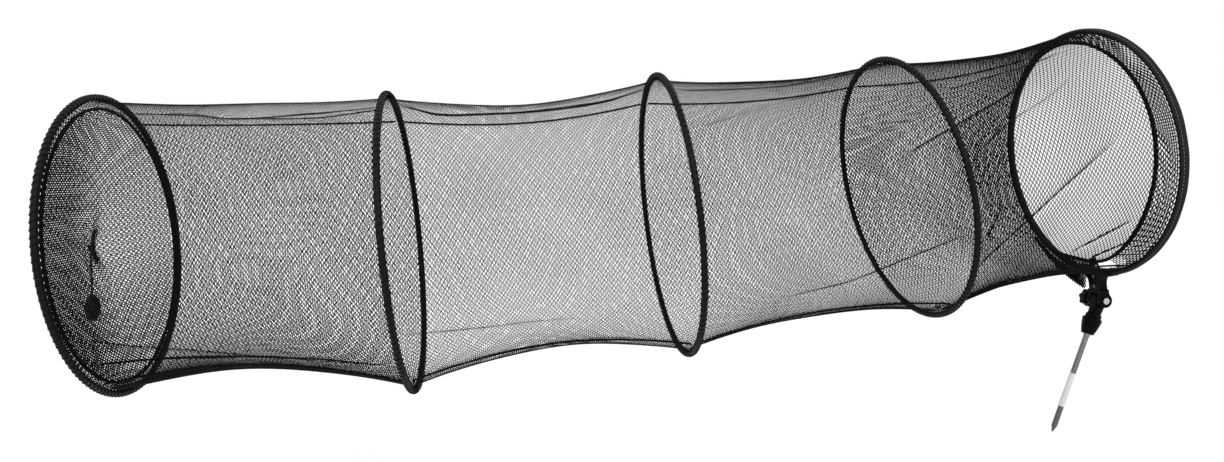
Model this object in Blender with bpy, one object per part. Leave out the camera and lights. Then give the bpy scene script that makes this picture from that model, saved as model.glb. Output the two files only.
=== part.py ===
"""A keep net: five hoops in a tube of black netting, carried at its mouth by a tilting block
on a ground spike. Metres, +Z up. +X runs along the net from its closed end to its mouth, and
the origin is the point of the spike."""

import math

import bmesh
import bpy
from mathutils import Matrix, Vector

# Hoops and netting
HOOP_DIAMETER = 0.400
HOOP_ROD = 0.0065
MOUTH_ROD = 0.0065
ROD_END_GAP = 0.0015
FERRULE_DIAMETER = 0.0084
FERRULE_LENGTH = 0.031
SECTION_LENGTH = 0.370
NET_WALL = 0.0006
NET_BAR = 0.0050
NET_WAIST = 0.014
NET_LIFT = 0.008
SEAM_CORD = 0.0030
SEAM_CORD_STOP = 0.0060

# Bound mouth and its drawn cord
TAPE_THICKNESS = 0.0092
TAPE_WIDTH = 0.0135
TAPE_SETBACK = 0.0020
NET_STEP_OUT = 0.0012
HEM_STEP_IN = 0.0018
MOUTH_CORD = 0.0050
MOUTH_CORD_INSET = 0.0195
MOUTH_CORD_SETBACK = 0.0230
MOUTH_CORD_SKEW = 0.0105
MOUTH_KNOT = 0.0105

# Closed end
END_CORD = 0.0040
END_HEM_WIDTH = 0.0142
PANEL_DEPTH = 0.030
PANEL_EYE = 0.0050
END_KNOT = 0.0100
TOGGLE_CORD = 0.0030
TOGGLE_CORD_LENGTH = 0.058
TOGGLE_LENGTH = 0.036
TOGGLE_DIAMETER = 0.019
TOGGLE_FACE = 0.0050

# Hoop block, the moulding that holds the mouth hoop
HINGE_BELOW_HOOP = 0.0425
WING_REACH = 0.043
WING_HEIGHT = 0.012
BLOCK_DEPTH = 0.0145
NECK_WIDTH = 0.0235
COVER_FOOT = 0.0182
SCREW_DIAMETER = 0.0030
SCREW_HEAD = 0.0056
SCREW_HEAD_HEIGHT = 0.0018
SCREW_LENGTH = 0.0120
SCREW_HEIGHTS = {"upper": 0.0402, "lower": 0.0243}

# Tilting joint
EAR_DIAMETER = 0.023
FORK_WIDTH = 0.030
TONGUE_THICKNESS = 0.012
DISC_THICKNESS = 0.0014
DISC_DIAMETER = 0.018
BOLT_DIAMETER = 0.0060
BOLT_HEAD = 0.0100
BOLT_HEAD_HEIGHT = 0.0038
BOLT_HEAD_SUNK = 0.0018
BOLT_BORE_PLAY = 0.0003
WASHER_DIAMETER = 0.014
WASHER_THICKNESS = 0.0010
KNOB_DIAMETER = 0.030
KNOB_THICKNESS = 0.0155
KNOB_LOBE_DEPTH = 0.0026
KNOB_LOBES = 7
INSERT_DIAMETER = 0.0100
KNOB_INSERT_LENGTH = 0.0115

# Arm under the tilting joint
ARM_DEPTH = 0.015
ARM_FOOT_DIAMETER = 0.0236
ARM_FOOT_HEIGHT = 0.0075
ARM_WAIST_WIDTH = 0.0215
STUD_DIAMETER = 0.0092
STUD_IN_ARM = 0.0095
STUD_IN_HEAD = 0.0100

# Spike
SPIKE_ROD = 0.0086
SPIKE_POINT = 0.0110
SPIKE_SHOWING = 0.1725
ROD_IN_HEAD = 0.0125
HEAD_LENGTH = 0.0280
HEAD_TOP_DIAMETER = 0.0290
HEAD_FOOT_DIAMETER = 0.0185
HEAD_SHOULDER = 0.0045
HEAD_INSERT_DIAMETER = 0.0130
HEAD_INSERT_LENGTH = 0.0115
ARM_LENGTH = 0.0312
COLLAR_DIAMETER = 0.0112
COLLAR_LENGTH = 0.0060
COLLAR_IN_HEAD = 0.0025
LABEL_FOOT = 0.0450
LABEL_LENGTH = 0.0580
LABEL_THICKNESS = 0.0003
LABEL_GAP = 0.0002
LABEL_WRAP_DEG = 225

# Gaps
CLEARANCE = 0.0003
CUT_OVERRUN = 0.0020
SLOT_PLAY = 0.0010

# Angles
SPIKE_LEAN_DEG = 18.5
MOUTH_LEAN_DEG = 8.6
HOOP_LEANS_DEG = (13.4, 6.9, 5.2, 4.2)
FERRULE_TURNS_DEG = (31, 28, 36, 34)
LOW_SEAM_TURN_DEG = 30
KNOT_TURN_DEG = 9.5

# Each hoop's step from the one before it, towards the closed end: back, sideways and down,
# as shares of the section length; then the waist and lift of that section of netting
STEP_SHARES = ((0.92, -0.12, 0.157), (0.99, -0.095, 0.108), (0.99, -0.06, 0.097), (1.03, 0.143, 0.022))
WAIST_SHARES = (0.85, 0.60, 1.25, 0.85)
LIFT_SHARES = (0.20, 0.10, 0.30, 1.15)
PANEL_SHARES = ((1.0, 0.0), (0.70, 0.16), (0.38, 0.42), (0.14, 0.76))

# Counts
HOOP_STEPS = 36
JOINT_STEPS = 2
ROD_SIDES = 8
CORD_SIDES = 6
CORD_POINTS = 9
KNOT_ROWS = 8
RING_SIDES = 36
BAY_CELLS_ROUND = 24
BAY_CELLS_LONG = 5
ROUND_SIDES = 18

HOOP_RADIUS = HOOP_DIAMETER / 2 - HOOP_ROD / 2
MOUTH_RADIUS = HOOP_DIAMETER / 2 - TAPE_THICKNESS / 2
MOUTH_HEIGHT = HOOP_DIAMETER / 2 + HINGE_BELOW_HOOP
HEAD_TOP = SPIKE_SHOWING + HEAD_LENGTH
HINGE_HEIGHT = HEAD_TOP + CLEARANCE + ARM_LENGTH
MOUTH_CORD_RADIUS = HOOP_DIAMETER / 2 - MOUTH_CORD_INSET
END_CORD_RADIUS = HOOP_RADIUS - END_HEM_WIDTH
TAPE_REAR = TAPE_SETBACK + TAPE_WIDTH / 2
EAR_RADIUS = EAR_DIAMETER / 2
WING_RADIUS = WING_HEIGHT / 2
WING_TURN = math.asin((WING_REACH - WING_RADIUS) / MOUTH_RADIUS)
MOUTH_GAP_TURN = ROD_END_GAP / 2 / MOUTH_RADIUS
MOUTH_JOINT_TURN = WING_TURN + (WING_RADIUS + CLEARANCE) / MOUTH_RADIUS
HOOP_GAP_TURN = ROD_END_GAP / 2 / HOOP_RADIUS
FERRULE_TURN = FERRULE_LENGTH / 2 / HOOP_RADIUS
SLOT_WIDTH = TONGUE_THICKNESS + 2 * (DISC_THICKNESS + 2 * CLEARANCE)
BOLT_BORE = BOLT_DIAMETER + 2 * BOLT_BORE_PLAY
NET_RIM_RADIUS = HOOP_RADIUS - FERRULE_DIAMETER / 2 - CLEARANCE - NET_WALL / 2
LEFT = -math.pi / 2


def clear_scene():
    for item in list(bpy.data.objects):
        bpy.data.objects.remove(item, do_unlink=True)


def make_material(name, colour, roughness, metallic=0.0):
    made = bpy.data.materials.new(name)
    made.use_nodes = True
    shader = made.node_tree.nodes["Principled BSDF"]
    shader.inputs["Base Color"].default_value = (*colour, 1.0)
    shader.inputs["Roughness"].default_value = roughness
    shader.inputs["Metallic"].default_value = metallic
    return made


def make_frame(name, matrix):
    """An empty that carries the pieces of one moving body."""
    frame = bpy.data.objects.new(name, None)
    bpy.context.scene.collection.objects.link(frame)
    frame.matrix_world = matrix
    return frame


def make_piece(name, body, frame, material):
    """Turns a bmesh into a named object in its frame."""
    bmesh.ops.recalc_face_normals(body, faces=body.faces)
    mesh = bpy.data.meshes.new(name)
    body.to_mesh(mesh)
    body.free()
    mesh.shade_smooth()
    mesh.set_sharp_from_angle(angle=math.radians(40))
    piece = bpy.data.objects.new(name, mesh)
    bpy.context.scene.collection.objects.link(piece)
    piece.parent = frame
    piece.data.materials.append(material)
    return piece


def cut(piece, tool, operation="DIFFERENCE"):
    """Leaves a Boolean on the piece, with its tool kept as a wire guide in the same frame."""
    tool.hide_render = True
    tool.display_type = "WIRE"
    step = piece.modifiers.new(tool.name, "BOOLEAN")
    step.operation = operation
    step.solver = "EXACT"
    step.object = tool


def join(piece, tool):
    cut(piece, tool, "UNION")


def add_rings(body, rings, around=False, caps=True):
    """Skins a row of rings with equal counts of points. With around, the last joins the first."""
    made = [[body.verts.new(point) for point in ring] for ring in rings]
    pairs = list(zip(made, made[1:]))
    if around:
        pairs.append((made[-1], made[0]))
    for ring, following in pairs:
        count = len(ring)
        for i in range(count):
            j = (i + 1) % count
            body.faces.new((ring[i], ring[j], following[j], following[i]))
    if caps and not around:
        body.faces.new(made[0])
        body.faces.new(made[-1])
    return made


def loft(rings, around=False):
    body = bmesh.new()
    add_rings(body, rings, around)
    return body


def wall_loft(outer, inner):
    """A wall with open ends: an outer skin, an inner skin and a flat rim at each end."""
    body = bmesh.new()
    out = add_rings(body, outer, caps=False)
    within = add_rings(body, inner, caps=False)
    for end in (0, -1):
        count = len(out[end])
        for i in range(count):
            j = (i + 1) % count
            body.faces.new((out[end][i], out[end][j], within[end][j], within[end][i]))
    return body


def circle(radius, z, sides=ROUND_SIDES, flat=0.0):
    """Points around +Z; flat narrows the ring across Y."""
    turns = [2 * math.pi * i / sides for i in range(sides)]
    return [Vector((radius * math.cos(t), (radius - flat) * math.sin(t), z)) for t in turns]


def turned(profile, sides=ROUND_SIDES):
    """A solid turned about +Z from (radius, height) pairs."""
    return loft([circle(radius, z, sides) for radius, z in profile])


def turned_bush(profile, bore, sides=ROUND_SIDES):
    """A turned solid with a straight bore right through it."""
    outer = [circle(radius, z, sides) for radius, z in profile]
    inner = [circle(bore, z, sides) for _, z in profile]
    return wall_loft(outer, inner)


def across(body):
    """Lays a piece turned about +Z along +Y."""
    bmesh.ops.transform(body, matrix=Matrix.Rotation(LEFT, 4, "X"), verts=body.verts)
    return body


def slab(outline, low, high, axis):
    """Extrudes an outline along X or Y; the outline is in (Y, Z) or (X, Z)."""
    if axis == "X":
        rings = [[Vector((depth, u, z)) for u, z in outline] for depth in (low, high)]
    else:
        rings = [[Vector((u, depth, z)) for u, z in outline] for depth in (low, high)]
    return loft(rings)


def box(low, high):
    outline = [(low[0], low[2]), (high[0], low[2]), (high[0], high[2]), (low[0], high[2])]
    return slab(outline, low[1], high[1], "Y")


def arc(centre, radius, start, end, steps):
    """Points (u, z) along an arc, angles in radians from +U."""
    turns = [start + (end - start) * i / steps for i in range(steps + 1)]
    return [(centre[0] + radius * math.cos(t), centre[1] + radius * math.sin(t)) for t in turns]


def hoop_point(radius, turn, x=0.0):
    """A point of a hoop in its own frame: turn is from the bottom, positive towards -Y."""
    return Vector((x, -radius * math.sin(turn), -radius * math.cos(turn)))


def section_ring(radius, turn, thick, wide, x=0.0, sides=ROD_SIDES):
    """The cross-section of a bent rod or band: thick is radial, wide is along the net."""
    points = []
    for i in range(sides):
        t = 2 * math.pi * i / sides
        here = radius + thick / 2 * math.cos(t)
        points.append(hoop_point(here, turn, x + wide / 2 * math.sin(t)))
    return points


def even(start, end, steps):
    return [start + (end - start) * i / steps for i in range(steps + 1)]


def rod_turns(turn, gap, span):
    """Where a bent rod has its corners: close ones under its ferrule or block, then even ones."""
    near = even(gap, span, JOINT_STEPS)
    far = even(span, 2 * math.pi - span, HOOP_STEPS)[1:-1]
    return [turn + t for t in near + far + [2 * math.pi - t for t in reversed(near)]]


def joint_turns(turn, gap, span):
    """The corners of what covers the rod's two ends, the same as the rod's own."""
    near = even(gap, span, JOINT_STEPS)
    return [turn + t for t in [-t for t in reversed(near)] + near]


def bent_rod(radius, turns, thick):
    return loft([section_ring(radius, t, thick, thick) for t in turns])


def bent_sleeve(radius, turns, bore, thick, wide, x=0.0):
    outer = [section_ring(radius, t, thick, wide, x) for t in turns]
    inner = [section_ring(radius, t, bore, bore) for t in turns]
    return wall_loft(outer, inner)


def net_turns():
    """The corners of every ring of netting; two of them lie under the seams."""
    return even(math.radians(LOW_SEAM_TURN_DEG), math.radians(LOW_SEAM_TURN_DEG + 360), RING_SIDES)[:-1]


def closed_hoop(radius, thick, x=0.0):
    rings = [section_ring(radius, t, thick, thick, x, CORD_SIDES) for t in net_turns()]
    return loft(rings, around=True)


def knobby_ball(centre, radius, sides=10):
    """A small round knot built from stacked rings."""
    rings = []
    for i in range(1, KNOT_ROWS):
        t = math.pi * i / KNOT_ROWS
        ring = circle(radius * math.sin(t), -radius * math.cos(t), sides)
        rings.append([point + centre for point in ring])
    return loft(rings)


def follow_tube(points, radius, sides=CORD_SIDES):
    """A round cord along points, kept upright to the net's side."""
    rings = []
    for i, point in enumerate(points):
        ahead = points[min(i + 1, len(points) - 1)] - points[max(i - 1, 0)]
        along = ahead.normalized()
        side = along.cross(Vector((0, 0, 1))).normalized()
        up = side.cross(along)
        ring = []
        for k in range(sides):
            t = 2 * math.pi * k / sides
            ring.append(point + radius * (math.cos(t) * side + math.sin(t) * up))
        rings.append(ring)
    return loft(rings)


def mix(a, b, share):
    return a + (b - a) * share


# Frames of the moving bodies

def lean_frame(centre, lean_deg):
    """A hoop's frame: +X is its normal, tipped up by its lean."""
    return Matrix.Translation(centre) @ Matrix.Rotation(-math.radians(lean_deg), 4, "Y")


def spike_matrix():
    return Matrix.Rotation(math.radians(SPIKE_LEAN_DEG), 4, "Y")


def hinge_centre():
    return spike_matrix() @ Vector((0, 0, HINGE_HEIGHT))


def head_matrix():
    return lean_frame(hinge_centre(), MOUTH_LEAN_DEG)


def mouth_matrix():
    return head_matrix() @ Matrix.Translation((0, 0, MOUTH_HEIGHT))


def hoop_matrices():
    """The mouth's frame, then those of the four hoops behind it."""
    frames = [mouth_matrix()]
    centre = frames[0].translation.copy()
    for (back, side, down), lean in zip(STEP_SHARES, HOOP_LEANS_DEG):
        centre = centre + SECTION_LENGTH * Vector((-back, side, -down))
        frames.append(lean_frame(centre, lean))
    return frames


def end_knot_matrix():
    """The frame of the knot at the drawn-out centre of the closed end."""
    behind = PANEL_DEPTH + NET_WALL / 2 + CLEARANCE + END_KNOT / 2
    knot = hoop_matrices()[-1] @ Vector((-behind, 0, 0))
    return Matrix.Translation(knot)


# Netting between two hoops

def bay_rim(index):
    """Radius and setback of each end of one section's middle surface."""
    mouth_end = (NET_RIM_RADIUS, -CLEARANCE / 2)
    far_end = (NET_RIM_RADIUS, CLEARANCE / 2)
    if index == 0:
        mouth_end = (MOUTH_RADIUS + NET_STEP_OUT, -TAPE_REAR - CLEARANCE)
    if index == len(STEP_SHARES) - 1:
        far_end = (NET_RIM_RADIUS, NET_WALL / 2 + CLEARANCE)
    return mouth_end, far_end


def bay_point(index, share, turn, proud=0.0):
    """A point of a section's netting: share runs from its mouth end to its far end."""
    frames = hoop_matrices()
    near, far = frames[index], frames[index + 1]
    (near_radius, near_x), (far_radius, far_x) = bay_rim(index)
    drawn = math.sin(math.pi * share)
    radius = mix(near_radius, far_radius, share) - NET_WAIST * WAIST_SHARES[index] * drawn + proud
    start = near @ hoop_point(radius, turn, near_x)
    end = far @ hoop_point(radius, turn, far_x)
    lift = Vector((0, 0, NET_LIFT * LIFT_SHARES[index] * drawn))
    return start.lerp(end, share) + lift


def bar_turns():
    """Both edges of every bar along the net; the seams lie on two of these bars."""
    half = NET_BAR / 2 / NET_RIM_RADIUS
    first = math.radians(LOW_SEAM_TURN_DEG)
    middles = even(first, first + 2 * math.pi, BAY_CELLS_ROUND)[:-1]
    return [middle + side for middle in middles for side in (-half, half)]


def bar_shares():
    """Both edges of every bar round the net; the first and last bars are the section's rims."""
    half = NET_BAR / 2 / SECTION_LENGTH
    middles = even(0.0, 1.0, BAY_CELLS_LONG)[1:-1]
    between = [middle + side for middle in middles for side in (-half, half)]
    return [0.0, 2 * half, *between, 1 - 2 * half, 1.0]


def bay_rings(index, proud):
    return [[bay_point(index, share, turn, proud) for turn in bar_turns()] for share in bar_shares()]


def grid_wall(outer, inner):
    """A wall with open ends and a grid of openings: every odd cell of every odd row."""
    body = bmesh.new()
    skins = [[[body.verts.new(point) for point in ring] for ring in rings] for rings in (outer, inner)]
    count = len(outer[0])
    last = len(outer) - 1
    for row in range(last):
        for i in range(count):
            j = (i + 1) % count
            corners = [(row, i), (row, j), (row + 1, j), (row + 1, i)]
            if i % 2 and row % 2:
                add_sides(body, skins, list(zip(corners, corners[1:] + corners[:1])))
            else:
                for skin in skins:
                    body.faces.new([skin[ring][corner] for ring, corner in corners])
    for row in (0, last):
        add_sides(body, skins, [((row, i), (row, (i + 1) % count)) for i in range(count)])
    return body


def add_sides(body, skins, edges):
    """Joins the two skins of a wall along edges, each given by its two corners."""
    outer, inner = skins
    for (row, i), (other, j) in edges:
        body.faces.new((outer[row][i], outer[other][j], inner[other][j], inner[row][i]))


def make_bay(index, frame, material):
    """One section of netting, its fine mesh drawn as a plain grid."""
    wall = grid_wall(bay_rings(index, NET_WALL / 2), bay_rings(index, -NET_WALL / 2))
    return make_piece(f"net_section_{index + 1}", wall, frame, material)


def make_seam(name, index, turn_deg, frame, material):
    """A cord sewn along the netting, stopping short of the hoop at each end."""
    proud = NET_WALL / 2 + CLEARANCE + SEAM_CORD / 2
    stop = SEAM_CORD_STOP / SECTION_LENGTH
    if index == 0:
        first = stop + TAPE_WIDTH / SECTION_LENGTH
    else:
        first = stop
    turn = math.radians(turn_deg)
    corners = [bay_point(index, share, turn, proud) for share in even(0.0, 1.0, BAY_CELLS_LONG)]
    start = corners[0].lerp(corners[1], first * BAY_CELLS_LONG)
    end = corners[-1].lerp(corners[-2], stop * BAY_CELLS_LONG)
    points = [start, *corners[1:-1], end]
    return make_piece(name, follow_tube(points, SEAM_CORD / 2), frame, material)


# Spike, its head and its label

def make_spike(frame, look):
    rod = SPIKE_ROD / 2
    top = SPIKE_SHOWING + ROD_IN_HEAD
    tip = SPIKE_ROD / 12
    profile = [(tip, 0), (rod, SPIKE_POINT), (rod, top)]
    make_piece("spike_rod", turned(profile), frame, look["aluminium"])
    make_label(frame, look["label"])

    collar_foot = SPIKE_SHOWING - COLLAR_LENGTH + COLLAR_IN_HEAD
    collar_top = SPIKE_SHOWING + COLLAR_IN_HEAD
    collar = turned_bush(
        [(COLLAR_DIAMETER / 2, collar_foot), (COLLAR_DIAMETER / 2, collar_top)], rod + CLEARANCE
    )
    make_piece("spike_collar", collar, frame, look["bright"])

    foot = HEAD_FOOT_DIAMETER / 2
    brim = HEAD_TOP_DIAMETER / 2
    shoulder = HEAD_TOP - HEAD_SHOULDER
    profile = [
        (foot, SPIKE_SHOWING),
        (mix(foot, brim, 0.45), mix(SPIKE_SHOWING, shoulder, 0.35)),
        (mix(foot, brim, 0.85), mix(SPIKE_SHOWING, shoulder, 0.75)),
        (brim, shoulder),
        (brim, HEAD_TOP - HEAD_SHOULDER / 3),
        (brim - HEAD_SHOULDER / 3, HEAD_TOP),
    ]
    head = make_piece("spike_head", turned(profile, 24), frame, look["plastic"])
    socket = [(rod + CLEARANCE, SPIKE_SHOWING - CUT_OVERRUN), (rod + CLEARANCE, top + CLEARANCE)]
    cut(head, make_piece("rod_socket", turned(socket), frame, look["plastic"]))
    seat = COLLAR_DIAMETER / 2 + CLEARANCE
    recess = [(seat, SPIKE_SHOWING - CUT_OVERRUN), (seat, collar_top + CLEARANCE)]
    cut(head, make_piece("collar_recess", turned(recess), frame, look["plastic"]))
    bore = HEAD_INSERT_DIAMETER / 2 + CLEARANCE
    pocket = [(bore, HEAD_TOP - HEAD_INSERT_LENGTH - CLEARANCE), (bore, HEAD_TOP + CUT_OVERRUN)]
    cut(head, make_piece("insert_pocket", turned(pocket), frame, look["plastic"]))

    hole = STUD_DIAMETER / 2 + CLEARANCE
    insert = turned_bush(
        [(HEAD_INSERT_DIAMETER / 2, HEAD_TOP - HEAD_INSERT_LENGTH), (HEAD_INSERT_DIAMETER / 2, HEAD_TOP)], hole
    )
    make_piece("head_insert", insert, frame, look["brass"])


def make_label(frame, material):
    """A bare wrap-round label: a part ring whose open side faces away from the net."""
    inner = SPIKE_ROD / 2 + LABEL_GAP
    outer = inner + LABEL_THICKNESS
    half = math.radians(LABEL_WRAP_DEG) / 2
    steps = 12
    rings = []
    for i in range(steps + 1):
        t = math.pi - half + 2 * half * i / steps
        ring = []
        for radius, z in (
            (inner, LABEL_FOOT),
            (outer, LABEL_FOOT),
            (outer, LABEL_FOOT + LABEL_LENGTH),
            (inner, LABEL_FOOT + LABEL_LENGTH),
        ):
            ring.append(Vector((radius * math.cos(t), radius * math.sin(t), z)))
        rings.append(ring)
    make_piece("spike_label", loft(rings), frame, material)


# Arm

def make_arm(frame, look):
    """The arm screwed on the spike: a round foot, a narrowing waist and a round-ended tongue."""
    foot = HEAD_TOP + CLEARANCE
    waist = HINGE_HEIGHT - EAR_RADIUS - SLOT_PLAY
    step = foot + ARM_FOOT_HEIGHT
    radius = ARM_FOOT_DIAMETER / 2
    squeeze = (ARM_FOOT_DIAMETER - ARM_WAIST_WIDTH) / 2
    rings = [
        circle(radius - CLEARANCE, foot),
        circle(radius, foot + 2 * CLEARANCE),
        circle(radius, mix(foot, step, 0.6)),
        circle(mix(radius, ARM_DEPTH / 2, 0.6), step, flat=-squeeze),
        circle(mix(radius, ARM_DEPTH / 2, 0.85), waist, flat=-squeeze),
    ]
    arm = make_piece("tilt_arm", loft(rings), frame, look["plastic"])

    half = ARM_DEPTH / 2
    outline = arc((0, HINGE_HEIGHT), EAR_RADIUS, math.radians(-40), math.radians(220), 16)
    outline += [(-half, mix(foot, waist, 0.3)), (half, mix(foot, waist, 0.3))]
    thick = TONGUE_THICKNESS / 2
    tongue = make_piece("tongue", slab(outline, -thick, thick, "Y"), frame, look["plastic"])
    join(arm, tongue)
    hole = across(turned([(BOLT_BORE / 2, -FORK_WIDTH), (BOLT_BORE / 2, FORK_WIDTH)]))
    bmesh.ops.translate(hole, vec=(0, 0, HINGE_HEIGHT), verts=hole.verts)
    cut(arm, make_piece("tongue_hole", hole, frame, look["plastic"]))
    bore = STUD_DIAMETER / 2 + CLEARANCE
    socket = [(bore, foot - CUT_OVERRUN), (bore, foot + STUD_IN_ARM + CLEARANCE)]
    cut(arm, make_piece("stud_socket", turned(socket), frame, look["plastic"]))

    stud = STUD_DIAMETER / 2
    taper = stud * 0.8
    profile = [
        (taper, HEAD_TOP - STUD_IN_HEAD),
        (stud, HEAD_TOP - STUD_IN_HEAD + stud - taper),
        (stud, foot + STUD_IN_ARM),
    ]
    make_piece("arm_stud", turned(profile), frame, look["steel"])


# Hoop block, its cover and the tilting joint

def wing_outline(foot):
    """The block seen along the net, in (Y, Z) from the hinge: a curved bar over a neck."""
    centre = (0, MOUTH_HEIGHT)
    inner = MOUTH_RADIUS - WING_RADIUS
    outer = MOUTH_RADIUS + WING_RADIUS
    down = -math.pi / 2
    neck = NECK_WIDTH / 2
    points = arc(centre, inner, down - WING_TURN, down + WING_TURN, 8)
    tip = (MOUTH_RADIUS * math.sin(WING_TURN), MOUTH_HEIGHT - MOUTH_RADIUS * math.cos(WING_TURN))
    points += arc(tip, WING_RADIUS, math.pi / 2 + WING_TURN, down + WING_TURN, 5)[1:-1]
    root = arc(centre, outer, down + WING_TURN, down + WING_TURN * 0.62, 2)
    points += root
    start = root[-1]
    top = MOUTH_HEIGHT - outer
    sweep = [(mix(start[0], neck, 0.55), mix(start[1], top, 0.95)), (neck * 1.12, top - WING_RADIUS)]
    points += sweep
    points.append((neck, top - WING_HEIGHT))
    points.append((neck, foot))
    mirrored = [(-u, z) for u, z in reversed(points[9:])]
    return points + mirrored


def make_block(frame, look):
    half = BLOCK_DEPTH / 2
    plastic = look["plastic"]
    foot = EAR_RADIUS
    block = make_piece("hoop_block", slab(wing_outline(foot), 0, half, "X"), frame, plastic)
    fork_outline = arc((0, 0), EAR_RADIUS, math.radians(-220), math.radians(40), 16)
    fork_outline += [(half, EAR_RADIUS), (half, COVER_FOOT), (-half, COVER_FOOT), (-half, EAR_RADIUS)]
    wide = FORK_WIDTH / 2
    fork = make_piece("fork", slab(fork_outline, -wide, wide, "Y"), frame, plastic)
    join(block, fork)
    slot = box(
        (-EAR_DIAMETER, -SLOT_WIDTH / 2, -EAR_DIAMETER),
        (EAR_DIAMETER, SLOT_WIDTH / 2, EAR_RADIUS + SLOT_PLAY),
    )
    cut(block, make_piece("fork_slot", slot, frame, plastic))
    hole = across(turned([(BOLT_BORE / 2, -FORK_WIDTH), (BOLT_BORE / 2, FORK_WIDTH)]))
    cut(block, make_piece("fork_hole", hole, frame, plastic))
    recess = hexagon(BOLT_HEAD + 2 * CLEARANCE, wide - BOLT_HEAD_SUNK - CLEARANCE, wide + CUT_OVERRUN)
    cut(block, make_piece("bolt_recess", recess, frame, plastic))

    outline = wing_outline(COVER_FOOT + CLEARANCE)
    cover = make_piece("block_cover", slab(outline, -half, -CLEARANCE, "X"), frame, plastic)
    groove = MOUTH_ROD + 2 * CLEARANCE
    turns = joint_turns(0, MOUTH_GAP_TURN, MOUTH_JOINT_TURN)
    for piece in (block, cover):
        rod = bent_rod(MOUTH_RADIUS, turns, groove)
        bmesh.ops.translate(rod, vec=(0, 0, MOUTH_HEIGHT), verts=rod.verts)
        cut(piece, make_piece(piece.name + "_groove", rod, frame, plastic))
        for name, z in SCREW_HEIGHTS.items():
            way = screw_shape(z, CLEARANCE, CUT_OVERRUN)
            cut(piece, make_piece(f"{piece.name}_{name}_hole", way, frame, plastic))
    for name, z in SCREW_HEIGHTS.items():
        make_piece(f"{name}_screw", screw_shape(z), frame, look["steel"])


def screw_shape(z, play=0.0, overrun=0.0):
    """A pan screw along +X whose head sits sunk in the cover's face."""
    half = BLOCK_DEPTH / 2
    head = SCREW_HEAD / 2 + play
    shank = SCREW_DIAMETER / 2 + play
    face = -half - overrun
    neck = -half + SCREW_HEAD_HEIGHT + play
    end = -half + SCREW_LENGTH + play
    rings = []
    for radius, x in ((head, face), (head, neck), (shank, neck), (shank, end)):
        ring = circle(radius, 0, 12)
        rings.append([Vector((x, p.x, p.y + z)) for p in ring])
    return loft(rings)


def hexagon(flats, start, end):
    """A hexagonal prism on the near side of the hinge, from start to end along -Y."""
    radius = flats / math.sqrt(3)
    outline = [(radius * math.cos(math.pi * i / 3), radius * math.sin(math.pi * i / 3)) for i in range(6)]
    return slab(outline, -end, -start, "Y")


def make_hinge_parts(frame, look):
    wide = FORK_WIDTH / 2
    hole = BOLT_BORE / 2
    for name, side in (("friction_disc_near", -1), ("friction_disc_far", 1)):
        low = TONGUE_THICKNESS / 2 + CLEARANCE
        ends = sorted((side * low, side * (low + DISC_THICKNESS)))
        disc = turned_bush([(DISC_DIAMETER / 2, ends[0]), (DISC_DIAMETER / 2, ends[1])], hole)
        make_piece(name, across(disc), frame, look["washer"])

    head_face = wide - BOLT_HEAD_SUNK
    head = hexagon(BOLT_HEAD, head_face, head_face + BOLT_HEAD_HEIGHT)
    bolt = make_piece("tilt_bolt", head, frame, look["bright"])
    reach = wide + CLEARANCE + WASHER_THICKNESS + CLEARANCE + KNOB_INSERT_LENGTH
    shank = [(BOLT_DIAMETER / 2, -head_face - BOLT_HEAD_HEIGHT / 2), (BOLT_DIAMETER / 2, reach)]
    join(bolt, make_piece("bolt_shank", across(turned(shank, 16)), frame, look["bright"]))

    start = wide + CLEARANCE
    ends = [(WASHER_DIAMETER / 2, start), (WASHER_DIAMETER / 2, start + WASHER_THICKNESS)]
    make_piece("knob_washer", across(turned_bush(ends, hole)), frame, look["washer"])


def lobed_ring(radius, y):
    count = KNOB_LOBES * 6
    points = []
    for i in range(count):
        t = 2 * math.pi * i / count
        dip = KNOB_LOBE_DEPTH * (1 - math.cos(KNOB_LOBES * t)) / 2
        here = radius - dip
        points.append(Vector((here * math.cos(t), y, here * math.sin(t))))
    return points


def make_knob(frame, look):
    start = FORK_WIDTH / 2 + WASHER_THICKNESS + 2 * CLEARANCE
    radius = KNOB_DIAMETER / 2
    end = start + KNOB_THICKNESS
    edge = KNOB_LOBE_DEPTH
    rings = [
        lobed_ring(radius - edge, start),
        lobed_ring(radius, start + edge),
        lobed_ring(radius, end - edge),
        lobed_ring(radius - edge, end),
    ]
    knob = make_piece("clamp_knob", loft(rings), frame, look["plastic"])
    bore = INSERT_DIAMETER / 2 + CLEARANCE
    deep = start + CLEARANCE + KNOB_INSERT_LENGTH + CLEARANCE
    pocket = across(turned([(bore, start - CUT_OVERRUN), (bore, deep)]))
    cut(knob, make_piece("knob_pocket", pocket, frame, look["plastic"]))
    ends = [(INSERT_DIAMETER / 2, start), (INSERT_DIAMETER / 2, start + KNOB_INSERT_LENGTH)]
    insert = across(turned_bush(ends, BOLT_DIAMETER / 2 + CLEARANCE))
    make_piece("knob_insert", insert, frame, look["brass"])


# Mouth

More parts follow.
